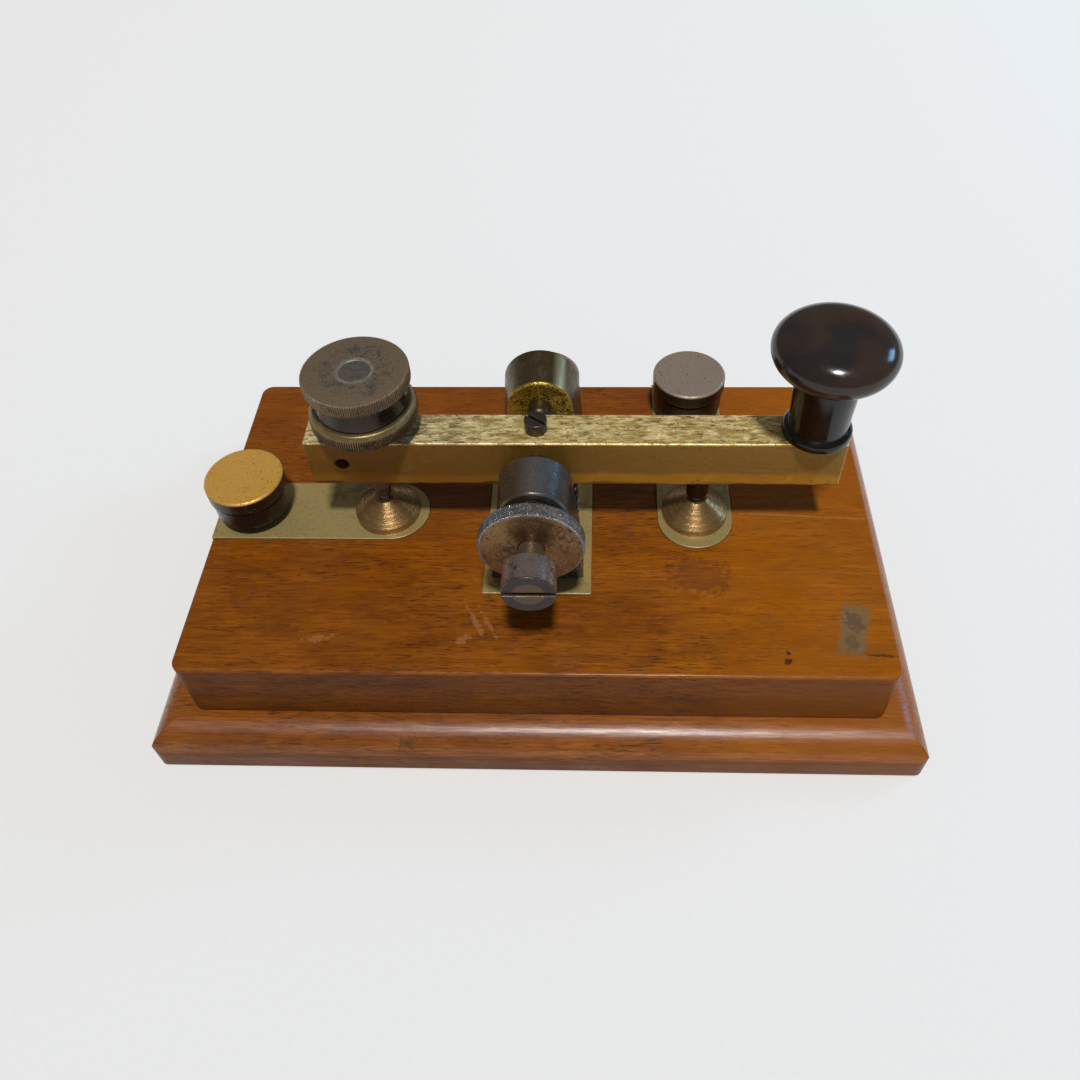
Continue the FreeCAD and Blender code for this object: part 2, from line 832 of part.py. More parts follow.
def build_nodes():
    """Every piece by its name."""
    nodes = {
        "base_plinth": make_base_plinth(),
        "base_block": make_base_block(),
        "base_screws": make_base_screws(),
        "front_standard": make_front_standard(),
        "rear_standard": make_rear_standard(),
        "bridge_screws": make_bridge_screws(),
        "rear_pivot_screw": make_rear_pivot_screw(),
        "front_pivot_screw": make_front_pivot_screw(),
        "front_lock_nut": make_front_lock_nut(),
        "lever_arbor": make_lever_arbor(),
        "lever_bar": make_lever_bar(),
        "arbor_set_screw": make_arbor_set_screw(),
        "front_contact_stud": make_front_contact_stud(),
        "lever_contact_tip": make_lever_contact_tip(),
        "key_knob": make_key_knob(),
        "knob_screw": knob_screw_body(0),
        "adjusting_screw": make_adjusting_screw(),
        "adjusting_screw_tip": make_adjusting_screw_tip(),
        "adjusting_knob": make_adjusting_knob(),
        "adjusting_lock_nut": make_adjusting_lock_nut(),
        "stud_washers": make_stud_washers(),
        "stud_nuts": make_stud_nuts(),
        "return_spring": make_return_spring(),
        "spring_guide": make_spring_guide(),
    }
    for name in STRAPS:
        nodes[name] = make_strap(name)
    for name in anvils:
        nodes[name + "_anvil"] = make_anvil(name)
        nodes[name + "_anvil_tip"] = make_anvil_tip(name)
    for name in terminals:
        nodes[name + "_terminal_post"] = make_terminal_post(name)
        nodes[name + "_terminal_washer"] = make_terminal_washer(name)
        nodes[name + "_terminal_head"] = make_terminal_head(name)
    return nodes


os.makedirs("parts", exist_ok=True)
for node, shape in build_nodes().items():
    shape.exportStep("parts/%s.step" % node)
    print("%-24s solids %d volume %9.1f valid %s" % (node, len(shape.Solids), shape.Volume, shape.isValid()))
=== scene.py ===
"""Looks of a Morse key: a rocking brass lever on a pivot bridge, on a stepped mahogany base.

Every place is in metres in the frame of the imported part: +X along the lever towards the operator's knob,
+Y away from the adjustable pivot screw, +Z up, origin under the middle of the plinth.
"""
import logging
import math
from dataclasses import dataclass
from enum import Enum
from functools import partial, reduce

import bpy
import numpy as np
from mathutils import Matrix, Vector


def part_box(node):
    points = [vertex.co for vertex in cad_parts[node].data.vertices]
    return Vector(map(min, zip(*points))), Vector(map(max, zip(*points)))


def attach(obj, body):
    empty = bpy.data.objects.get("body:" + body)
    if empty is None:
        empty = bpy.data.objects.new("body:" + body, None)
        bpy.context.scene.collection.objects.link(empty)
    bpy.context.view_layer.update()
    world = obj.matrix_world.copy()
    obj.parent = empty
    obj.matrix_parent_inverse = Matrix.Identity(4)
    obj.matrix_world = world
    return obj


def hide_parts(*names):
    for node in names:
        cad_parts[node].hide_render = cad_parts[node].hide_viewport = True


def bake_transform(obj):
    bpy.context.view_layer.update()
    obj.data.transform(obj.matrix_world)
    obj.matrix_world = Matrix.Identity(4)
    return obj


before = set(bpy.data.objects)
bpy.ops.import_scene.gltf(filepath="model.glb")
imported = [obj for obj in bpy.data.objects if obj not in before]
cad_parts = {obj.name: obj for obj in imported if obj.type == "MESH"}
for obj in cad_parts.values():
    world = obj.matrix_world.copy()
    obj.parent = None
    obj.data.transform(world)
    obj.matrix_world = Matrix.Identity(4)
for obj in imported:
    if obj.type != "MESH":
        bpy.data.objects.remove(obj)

log = logging.getLogger("morse_key")

MM = 0.001
COLUMNS_PER_TOOTH = 6
FADE = 1.2
SHARP_ANGLE = 40.0
PAST_END = 0.2 * MM
Color = tuple[float, float, float]
Triple = tuple[float, float, float]
Zone = tuple[float, float]


def tone(red: float, green: float, blue: float) -> Color:
    """Turns a colour of 0 to 255 display steps into the linear colour that the shaders take.

    Args:
        red: display step of red.
        green: display step of green.
        blue: display step of blue.

    Returns:
        The linear colour.
    """
    steps = np.array([red, green, blue]) / 255
    linear = np.where(steps <= 0.04045, steps / 12.92, ((steps + 0.055) / 1.055) ** 2.4)
    return tuple(float(value) for value in linear)


class Axis(Enum):
    """The axis about which a piece was turned on the lathe."""

    UPRIGHT = (1.0, 1.0, 0.0)
    CROSSWISE = (1.0, 0.0, 1.0)


class Measure(Enum):
    """What the zones of a metal piece are measured by: a coordinate, or the distance from its lathe axis."""

    X = 0
    Y = 1
    Z = 2
    RADIUS = 3


class Nodes:
    """Short calls for the shader nodes used here, on one node tree."""

    def __init__(self, tree: bpy.types.NodeTree) -> None:
        """Keeps the tree that the calls add to."""
        self.tree = tree

    def add(self, kind: str, feeds: dict | None = None, **settings: object) -> bpy.types.Node:
        """Adds a node.

        Args:
            kind: the node's class name.
            feeds: what feeds its inputs, by name or number.
            settings: plain properties to set on it first.

        Returns:
            The new node.
        """
        node = self.tree.nodes.new(kind)
        for name, value in settings.items():
            setattr(node, name, value)
        for key, value in (feeds or {}).items():
            self.put(node.inputs[key], value)
        return node

    def put(self, socket: bpy.types.NodeSocket, value: object) -> None:
        """Feeds a socket.

        Args:
            socket: the input to feed.
            value: an output socket to link, or a number or colour to set.
        """
        if isinstance(value, bpy.types.NodeSocket):
            self.tree.links.new(value, socket)
        elif socket.type == "RGBA":
            socket.default_value = (*value, 1.0)
        else:
            socket.default_value = value

    def math(self, operation: str, first: object, second: object = 0.0, clamp: bool = False) -> object:
        """Adds a Math node on two numbers and returns the result's socket."""
        feeds = {0: first, 1: second}
        return self.add("ShaderNodeMath", feeds, operation=operation, use_clamp=clamp).outputs[0]

    def total(self, *values: object) -> object:
        """Adds several numbers up and returns the result's socket."""
        return reduce(partial(self.math, "ADD"), values)

    def product(self, *values: object) -> object:
        """Multiplies several numbers together and returns the result's socket."""
        return reduce(partial(self.math, "MULTIPLY"), values)

    def less(self, first: object, second: object) -> object:
        """Takes the second number from the first and returns the result's socket."""
        return self.math("SUBTRACT", first, second)

    def either(self, first: object, second: object) -> object:
        """Returns the socket of the larger of two masks."""
        return self.math("MAXIMUM", first, second)

    def vector(self, operation: str, first: object, second: object = (0.0, 0.0, 0.0)) -> bpy.types.Node:
        """Adds a Vector Math node and returns the node itself."""
        return self.add("ShaderNodeVectorMath", {0: first, 1: second}, operation=operation)

    def place(self, point: object, move: Triple = (0, 0, 0), turn: float = 0.0,
              scale: Triple = (1, 1, 1)) -> object:
        """Scales a point, turns it by degrees about Z, then moves it, and returns the new point's socket."""
        rotation = (0.0, 0.0, math.radians(turn))
        feeds = {"Vector": point, "Location": move, "Rotation": rotation, "Scale": scale}
        return self.add("ShaderNodeMapping", feeds).outputs[0]

    def noise(self, point: object, scale: object, detail: float = 4.0, rough: float = 0.55,
              bend: float = 0.0) -> object:
        """Adds cloudy noise, about 0.25 to 0.75, with scale clouds per metre, and returns its socket."""
        feeds = {"Vector": point, "Scale": scale, "Detail": detail, "Roughness": rough, "Distortion": bend}
        return self.add("ShaderNodeTexNoise", feeds).outputs[0]

    def cells(self, point: object, scale: float) -> object:
        """Adds scattered cells and returns the socket of the distance from the nearest cell's middle."""
        return self.add("ShaderNodeTexVoronoi", {"Vector": point, "Scale": scale}).outputs["Distance"]

    def spread(self, value: object, low: float, high: float, to_low: float = 0.0,
               to_high: float = 1.0) -> object:
        """Stretches a range of a value smoothly to another range.

        Args:
            value: socket of the value.
            low: where the range starts.
            high: where it ends. It may be below low, which turns the range round.
            to_low: result at low.
            to_high: result at high.

        Returns:
            Socket of the result.
        """
        if low > high:
            low, high, to_low, to_high = high, low, to_high, to_low
        feeds = dict(enumerate((value, low, high, to_low, to_high)))
        return self.add("ShaderNodeMapRange", feeds, interpolation_type="SMOOTHSTEP").outputs[0]

    def mix(self, share: object, first: object, second: object) -> object:
        """Mixes a share, 0 to 1, of the second colour into the first and returns the socket."""
        return self.add("ShaderNodeMix", {0: share, 6: first, 7: second}, data_type="RGBA").outputs[2]

    def bump(self, height: object, depth: float, normal: object = None) -> object:
        """Turns a height into a bent normal.

        Args:
            height: socket of the height, 0 to 1.
            depth: what a height of 1 stands for, in metres.
            normal: socket of the normal that it starts from.

        Returns:
            Socket of the normal.
        """
        feeds = {"Strength": 1.0, "Distance": depth, "Height": height}
        if normal is not None:
            feeds["Normal"] = normal
        return self.add("ShaderNodeBump", feeds).outputs[0]

    def parts(self, point: object) -> tuple[object, ...]:
        """Returns the sockets of a point's X, Y and Z."""
        return tuple(self.add("ShaderNodeSeparateXYZ", {0: point}).outputs)

    def source(self, name: str = "Object") -> object:
        """Returns the socket of that name on a Texture Coordinate node: the Object coordinates, or Normal."""
        return self.add("ShaderNodeTexCoord").outputs[name]


class Effect:
    """A shader node group that several finishes share. It is built once, on first use."""

    name = ""
    takes: dict[str, tuple[str, object]] = {}
    gives: dict[str, str] = {}

    @classmethod
    def group(cls) -> bpy.types.NodeTree:
        """Returns the effect's node group, building it on the first call."""
        if cls.name in bpy.data.node_groups:
            return bpy.data.node_groups[cls.name]
        group = bpy.data.node_groups.new(cls.name, "ShaderNodeTree")
        for name, (kind, start) in cls.takes.items():
            socket = group.interface.new_socket(name=name, in_out="INPUT", socket_type="NodeSocket" + kind)
            socket.default_value = start
        for name, kind in cls.gives.items():
            group.interface.new_socket(name=name, in_out="OUTPUT", socket_type="NodeSocket" + kind)
        nodes = Nodes(group)
        start = nodes.add("NodeGroupInput")
        end = nodes.add("NodeGroupOutput")
        results = cls.build(nodes, {name: start.outputs[name] for name in cls.takes})
        for name, socket in results.items():
            nodes.put(end.inputs[name], socket)
        return group

    @classmethod
    def build(cls, nodes: Nodes, given: dict[str, object]) -> dict[str, object]:
        """Builds the effect's nodes. Each effect has its own.

        Args:
            nodes: calls on the group's tree.
            given: sockets of the group's inputs by name.

        Returns:
            Sockets of the group's outputs by name.
        """
        raise NotImplementedError

    @classmethod
    def use(cls, nodes: Nodes, **values: object) -> dict[str, object]:
        """Places the effect in a material.

        Args:
            nodes: calls on the material's tree.
            values: what feeds each input, by its name in small letters.

        Returns:
            Sockets of the outputs by name.
        """
        feeds = {name.capitalize(): value for name, value in values.items()}
        node = nodes.add("ShaderNodeGroup", feeds, node_tree=cls.group())
        return {name: node.outputs[name] for name in cls.gives}


class EdgeWear(Effect):
    """Finds a piece's edges: where a rounded edge's normal differs from the flat one, broken by noise."""

    name = "edge_wear"
    takes = {"Point": ("Vector", (0, 0, 0)), "Radius": ("Float", 0.0005), "Ragged": ("Float", 0.5)}
    gives = {"Edge": "Float", "Normal": "Vector"}

    @classmethod
    def build(cls, nodes: Nodes, given: dict[str, object]) -> dict[str, object]:
        """Builds the nodes: one minus the two normals' product, stretched, times the noise."""
        bevel = nodes.add("ShaderNodeBevel", {"Radius": given["Radius"]}, samples=6)
        flat = nodes.add("ShaderNodeNewGeometry").outputs["Normal"]
        same = nodes.vector("DOT_PRODUCT", bevel.outputs[0], flat).outputs["Value"]
        edge = nodes.spread(same, 0.995, 0.80)
        patchy = nodes.spread(nodes.noise(given["Point"], 420.0, 3.0), 0.38, 0.60)
        kept = nodes.less(1.0, nodes.product(given["Ragged"], patchy))
        return {"Edge": nodes.math("MULTIPLY", edge, kept, clamp=True), "Normal": bevel.outputs[0]}


class Mottle(Effect):
    """Uneven tarnish: broad clouds, finer blotches, small specks and pits, all from noise of the point."""

    name = "mottle"
    takes = {"Point": ("Vector", (0, 0, 0)), "Scale": ("Float", 100.0)}
    gives = {"Cloud": "Float", "Blotch": "Float", "Speck": "Float", "Pit": "Float"}

    @classmethod
    def build(cls, nodes: Nodes, given: dict[str, object]) -> dict[str, object]:
        """Builds the nodes: the same noise at 1, 4 and 14 times the scale, and thresholded cells."""
        point = given["Point"]
        scale = given["Scale"]
        cloud = nodes.noise(point, scale, 5.0, 0.6, 0.4)
        blotch = nodes.noise(point, nodes.product(scale, 4.0), 5.0, 0.65, 0.6)
        speck = nodes.noise(point, nodes.product(scale, 14.0), 3.0, 0.6)
        rare = nodes.spread(nodes.noise(point, 330.0, 2.0), 0.52, 0.66)
        pit = nodes.product(nodes.spread(nodes.cells(point, 900.0), 0.30, 0.12), rare)
        return {"Cloud": nodes.spread(cloud, 0.36, 0.64), "Blotch": nodes.spread(blotch, 0.36, 0.64),
                "Speck": nodes.spread(speck, 0.50, 0.70), "Pit": pit}


class Scratches(Effect):
    """Long thin scratches: noise stretched along one direction, of which only the peaks are kept."""

    name = "scratches"
    takes = {"Point": ("Vector", (0, 0, 0)), "Scale": ("Float", 1.0), "Amount": ("Float", 0.5)}
    gives = {"Scratch": "Float", "Brush": "Float"}

    @classmethod
    def build(cls, nodes: Nodes, given: dict[str, object]) -> dict[str, object]:
        """Builds the nodes: two layers of scratches, one turned a little, and a fine brushing."""
        scale = given["Scale"]
        stretched = nodes.place(given["Point"], scale=(1.0, 22.0, 22.0))
        turned = nodes.place(given["Point"], move=(3.1, 1.7, 0.4), turn=9.0, scale=(1.0, 30.0, 30.0))
        first = nodes.noise(stretched, nodes.product(scale, 90.0), 2.0, 0.6)
        second = nodes.noise(turned, nodes.product(scale, 55.0), 2.0, 0.6)
        brush = nodes.noise(stretched, nodes.product(scale, 240.0), 3.0, 0.7)
        low = nodes.less(0.78, nodes.product(given["Amount"], 0.2))
        peaks = nodes.less(nodes.either(first, second), low)
        scratch = nodes.math("MULTIPLY", peaks, 14.0, clamp=True)
        return {"Scratch": scratch, "Brush": nodes.spread(brush, 0.3, 0.7)}


class Turning(Effect):
    """Lathe marks: fine rings by the distance from the axis and along it, with the distance itself."""

    name = "turning"
    takes = {"Point": ("Vector", (0, 0, 0)), "Middle": ("Vector", (0, 0, 0)), "Across": ("Vector", (1, 1, 0))}
    gives = {"Radius": "Float", "Rings": "Float"}

    @classmethod
    def build(cls, nodes: Nodes, given: dict[str, object]) -> dict[str, object]:
        """Builds the nodes: the lengths across and along the axis, added, feed noise in one dimension."""
        away = nodes.vector("SUBTRACT", given["Point"], given["Middle"]).outputs[0]
        across = nodes.vector("MULTIPLY", away, given["Across"]).outputs[0]
        radius = nodes.vector("LENGTH", across).outputs["Value"]
        whole = nodes.vector("LENGTH", away).outputs["Value"]
        square = nodes.less(nodes.product(whole, whole), nodes.product(radius, radius))
        along = nodes.math("SQRT", nodes.either(square, 0.0))
        feeds = {"W": nodes.total(radius, along), "Scale": 5200.0, "Detail": 3.0}
        rings = nodes.add("ShaderNodeTexNoise", feeds, noise_dimensions="1D").outputs[0]
        return {"Radius": radius, "Rings": nodes.spread(rings, 0.3, 0.7)}


class Grain(Effect):
    """Wood grain along X: broad bands of figure, finer fibre, and short dark pores."""

    name = "grain"
    takes = {"Point": ("Vector", (0, 0, 0))}
    gives = {"Figure": "Float", "Fibre": "Float", "Pore": "Float", "Flake": "Float"}

    @classmethod
    def build(cls, nodes: Nodes, given: dict[str, object]) -> dict[str, object]:
        """Builds the nodes: noise stretched 2 to 20 times along X, of which pores are the low peaks."""

        def layer(along: float, across: float, move: Triple, *settings: float) -> object:
            """Returns noise of the point with other scales along and across X."""
            stretched = nodes.place(given["Point"], move, scale=(along, across, across))
            return nodes.noise(stretched, 1.0, *settings)

        wave = layer(40.0, 120.0, (0, 0, 0), 5.0, 0.70, 0.8)
        fibre = layer(90.0, 1700.0, (0, 0, 0), 5.0, 0.75, 0.2)
        pores = layer(330.0, 2700.0, (0, 0, 0), 2.0, 0.5, 0.2)
        crowd = layer(40.0, 130.0, (4.0, 2.0, 7.0), 3.0, 0.5, 0.4)
        flake = layer(170.0, 420.0, (9.0, 0.0, 3.0), 4.0, 0.65, 0.8)
        pore = nodes.product(nodes.spread(pores, 0.46, 0.34), nodes.spread(crowd, 0.30, 0.60, 0.25, 1.0))
        return {"Figure": nodes.spread(wave, 0.30, 0.70), "Fibre": nodes.spread(fibre, 0.38, 0.62),
                "Pore": pore, "Flake": nodes.spread(flake, 0.38, 0.62)}


class Patch(Effect):
    """One mark: an ellipse with a ragged edge, 1 inside and 0 outside."""

    name = "patch"
    takes = {"Point": ("Vector", (0, 0, 0)), "Ragged": ("Float", 0.5)}
    gives = {"Mask": "Float"}

    @classmethod
    def build(cls, nodes: Nodes, given: dict[str, object]) -> dict[str, object]:
        """Builds the nodes: the length of the point, in half sizes, plus noise, is cut at one."""
        length = nodes.vector("LENGTH", given["Point"]).outputs["Value"]
        noise = nodes.noise(nodes.source(), 900.0, 3.0, 0.6)
        shift = nodes.product(nodes.less(noise, 0.5), given["Ragged"], 4.0)
        return {"Mask": nodes.spread(nodes.total(length, shift), 1.15, 0.75)}


@dataclass(frozen=True)
class Mark:
    """A stain, scrape or dent: its middle and half sizes in millimetres, its turn, colour and strength."""

    x: float
    y: float
    half_length: float
    half_width: float
    turn: float
    color: Color
    strength: float = 1.0
    ragged: float = 0.5
    square: bool = False

    def mask(self, nodes: Nodes, point: object) -> object:
        """Returns the socket of the mark's mask, times its strength. A square mark is a rectangle.

        Args:
            nodes: calls on the material's tree.
            point: socket of the Object coordinates.
        """
        x, y, _ = nodes.parts(point)
        feeds = {0: nodes.less(x, self.x * MM), 1: nodes.less(y, self.y * MM)}
        turned = nodes.place(nodes.add("ShaderNodeCombineXYZ", feeds).outputs[0], turn=-self.turn)
        halves = (1 / (self.half_length * MM), 1 / (self.half_width * MM), 0.0)
        sized = nodes.place(turned, scale=halves)
        if self.square:
            across, along, _ = nodes.parts(nodes.vector("ABSOLUTE", sized).outputs[0])
            sized = nodes.add("ShaderNodeCombineXYZ", {0: nodes.either(across, along)}).outputs[0]
        return nodes.product(Patch.use(nodes, point=sized, ragged=self.ragged)["Mask"], self.strength)


@dataclass(frozen=True)
class Band:
    """A zone of another colour on a metal piece: its measure, limits in metres, colour and added gloss."""

    measure: Measure
    low: float
    high: float
    color: Color
    strength: float = 0.8
    soft: float = 0.15 * MM
    gloss: float = 0.0

    def mask(self, nodes: Nodes, point: object, radius: object) -> object:
        """Returns the socket of the zone's mask, times its strength.

        Args:
            nodes: calls on the material's tree.
            point: socket of the Object coordinates.
            radius: socket of the distance from the lathe axis, where the piece has one.
        """
        value = radius if self.measure is Measure.RADIUS else nodes.parts(point)[self.measure.value]
        above = nodes.spread(value, self.low - self.soft, self.low + self.soft)
        below = nodes.spread(value, self.high + self.soft, self.high - self.soft)
        return nodes.product(above, below, self.strength)


class Finish:
    """What all finishes share: a material, built once by its own method, and put on pieces."""

    name: str

    def material(self) -> bpy.types.Material:
        """Returns the finish's material, building it on the first call."""
        if self.name in bpy.data.materials:
            return bpy.data.materials[self.name]
        material = bpy.data.materials.new(self.name)
        material.use_nodes = True
        nodes = Nodes(material.node_tree)
        shader = material.node_tree.nodes["Principled BSDF"]
        self.build(nodes, shader, nodes.source())
        return material

    def build(self, nodes: Nodes, shader: bpy.types.Node, point: object) -> None:
        """Builds the finish's nodes. Each finish has its own.

        Args:
            nodes: calls on the material's tree.
            shader: its Principled BSDF.
            point: socket of the Object coordinates.
        """
        raise NotImplementedError

    def dress(self, *names: str) -> None:
        """Puts the finish on the CAD nodes of those names."""
        for name in names:
            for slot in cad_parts[name].material_slots:
                slot.material = self.material()
            log.info("dressed %s in %s", name, self.name)


@dataclass(frozen=True)
class Mahogany(Finish):
    """Polished mahogany: figure and pores along X, a worn edge, marks, and a thin clear polish."""

    name: str
    light: Color
    deep: Color
    dark: Color
    worn: Color
    back: Color
    shift: Triple = (0.0, 0.0, 0.0)
    side_shade: float = 0.42
    marks: tuple[Mark, ...] = ()
    edge_radius: float = 0.9 * MM
    polish: float = 0.25
    polish_rough: float = 0.20
    grain_depth: float = 0.035 * MM
    back_zone: Zone = (-20 * MM, 45 * MM)
    left_zone: Zone = (60 * MM, -60 * MM)
    right_zone: Zone = (25 * MM, 50 * MM)

    def build(self, nodes: Nodes, shader: bpy.types.Node, point: object) -> None:
        """Builds the wood's nodes.

        Args:
            nodes: calls on the material's tree.
            shader: its Principled BSDF.
            point: socket of the Object coordinates.
        """
        grain = Grain.use(nodes, point=nodes.place(point, move=self.shift))
        x, y, _ = nodes.parts(point)
        color = nodes.mix(grain["Figure"], self.light, self.deep)
        color = nodes.mix(nodes.product(grain["Flake"], 0.40), color, self.light)
        color = nodes.mix(nodes.product(grain["Fibre"], 0.62), color, self.deep)
        color = nodes.mix(nodes.product(grain["Pore"], 0.70), color, self.dark)
        color = nodes.mix(nodes.spread(y, *self.back_zone, 0.0, 0.35), color, self.back)
        color = nodes.mix(nodes.spread(x, *self.left_zone, 0.0, 0.30), color, self.deep)
        color = nodes.mix(nodes.spread(x, *self.right_zone, 0.0, 0.45), color, self.light)
        upward = nodes.spread(nodes.parts(nodes.source("Normal"))[2], 0.05, 0.45)
        shade = nodes.less(self.side_shade, nodes.product(upward, self.side_shade))
        color = nodes.mix(shade, color, self.dark)
        wear = EdgeWear.use(nodes, point=point, radius=self.edge_radius, ragged=0.8)
        dulled = wear["Edge"]
        color = nodes.mix(nodes.product(dulled, 0.45), color, self.worn)
        for mark in self.marks:
            mask = nodes.product(mark.mask(nodes, point), upward)
            color = nodes.mix(mask, color, mark.color)
            dulled = nodes.either(dulled, mask)
        nodes.put(shader.inputs["Base Color"], color)
        roughness = nodes.spread(nodes.noise(point, 60.0, 4.0, 0.6), 0.35, 0.68, 0.30, 0.48)
        nodes.put(shader.inputs["Roughness"], nodes.total(roughness, nodes.product(dulled, 0.2)))
        height = nodes.less(nodes.product(grain["Fibre"], 0.5), grain["Pore"])
        height = nodes.less(height, nodes.product(dulled, 0.5))
        nodes.put(shader.inputs["Normal"], nodes.bump(height, self.grain_depth, wear["Normal"]))
        shine = nodes.product(nodes.spread(upward, 0.0, 1.0, 0.08, 1.0), self.polish)
        shine = nodes.product(shine, nodes.spread(grain["Fibre"], 0.0, 1.0, 1.25, 0.65))
        coat = nodes.math("SUBTRACT", shine, nodes.product(dulled, self.polish), clamp=True)
        nodes.put(shader.inputs["Coat Weight"], coat)
        shader.inputs["Specular IOR Level"].default_value = 0.12
        shader.inputs["Coat Roughness"].default_value = self.polish_rough


@dataclass(frozen=True)
class Metal(Finish):
    """Aged metal: clean colour, tarnish in clouds and specks, scratches, pits and bright worn edges.

    Lathe marks are added where middle is given: the point on the axis, with the axis itself.
    """

    name: str
    clean: Color
    tarnish: Color
    worn: Color
    clouds: float = 120.0
    tarnished: float = 0.55
    speckled: float = 0.35
    brushed: float = 0.3
    scratched: float = 0.3
    pitted: float = 0.4
    edge: float = 0.6
    edge_radius: float = 0.35 * MM
    smooth: float = 0.30
    rough: float = 0.52
    metallic: float = 0.9
    shift: Triple = (0.0, 0.0, 0.0)
    middle: Triple | None = None
    axis: Axis = Axis.UPRIGHT
    ring_depth: float = 0.004 * MM
    pit_depth: float = 0.018 * MM
    least_rough: float = 0.12
    scratch_light: float = 0.5
    bands: tuple[Band, ...] = ()

    def extra(self, nodes: Nodes, point: object, color: object) -> object:
        """Adds what only one piece has to the colour. The plain metal adds nothing."""
        return color

    def build(self, nodes: Nodes, shader: bpy.types.Node, point: object) -> None:
        """Builds the metal's nodes.

        Args:
            nodes: calls on the material's tree.
            shader: its Principled BSDF.
            point: socket of the Object coordinates.
        """
        moved = nodes.place(point, move=self.shift)
        mottle = Mottle.use(nodes, point=moved, scale=self.clouds)
        lines = Scratches.use(nodes, point=moved, scale=1.0, amount=self.scratched)
        wear = EdgeWear.use(nodes, point=moved, radius=self.edge_radius, ragged=0.6)
        fine = lines["Brush"]
        normal = wear["Normal"]
        radius = None
        if self.middle is not None:
            rings = Turning.use(nodes, point=point, middle=self.middle, across=self.axis.value)
            fine = rings["Rings"]
            radius = rings["Radius"]
            normal = nodes.bump(fine, self.ring_depth, normal)
        shares = {"Cloud": 0.45, "Blotch": 0.35, "Speck": 0.20}
        cover = nodes.total(*(nodes.product(mottle[name], share) for name, share in shares.items()))
        cover = nodes.spread(cover, 0.95 - self.tarnished, 1.35 - self.tarnished)
        color = nodes.mix(cover, self.clean, self.tarnish)
        color = nodes.mix(nodes.product(fine, self.brushed), color, self.tarnish)
        dark = tuple(0.35 * value for value in self.tarnish)
        color = nodes.mix(nodes.product(mottle["Speck"], self.speckled), color, dark)
        gloss = 0.0
        for band in self.bands:
            mask = band.mask(nodes, point, radius)
            color = nodes.mix(mask, color, band.color)
            gloss = nodes.total(gloss, nodes.product(mask, band.gloss))
        color = self.extra(nodes, point, color)
        color = nodes.mix(nodes.product(mottle["Pit"], self.pitted), color, dark)
        scratch = nodes.product(lines["Scratch"], self.scratch_light)
        bright = nodes.either(nodes.product(wear["Edge"], self.edge), scratch)
        nodes.put(shader.inputs["Base Color"], nodes.mix(bright, color, self.worn))
        dull = nodes.total(nodes.product(cover, 0.7), nodes.product(fine, 0.3))
        roughness = nodes.less(nodes.spread(dull, 0.0, 1.0, self.smooth, self.rough), gloss)
        nodes.put(shader.inputs["Roughness"], nodes.either(roughness, self.least_rough))
        clear = nodes.less(cover, bright)
        metallic = nodes.spread(clear, 0.0, 1.0, self.metallic, self.metallic - 0.3)
        nodes.put(shader.inputs["Metallic"], metallic)
        height = nodes.less(nodes.product(fine, 0.3), mottle["Pit"])
        height = nodes.less(height, nodes.product(lines["Scratch"], 0.5))
        height = nodes.less(height, nodes.product(mottle["Speck"], 0.4))
        nodes.put(shader.inputs["Normal"], nodes.bump(height, self.pit_depth, normal))


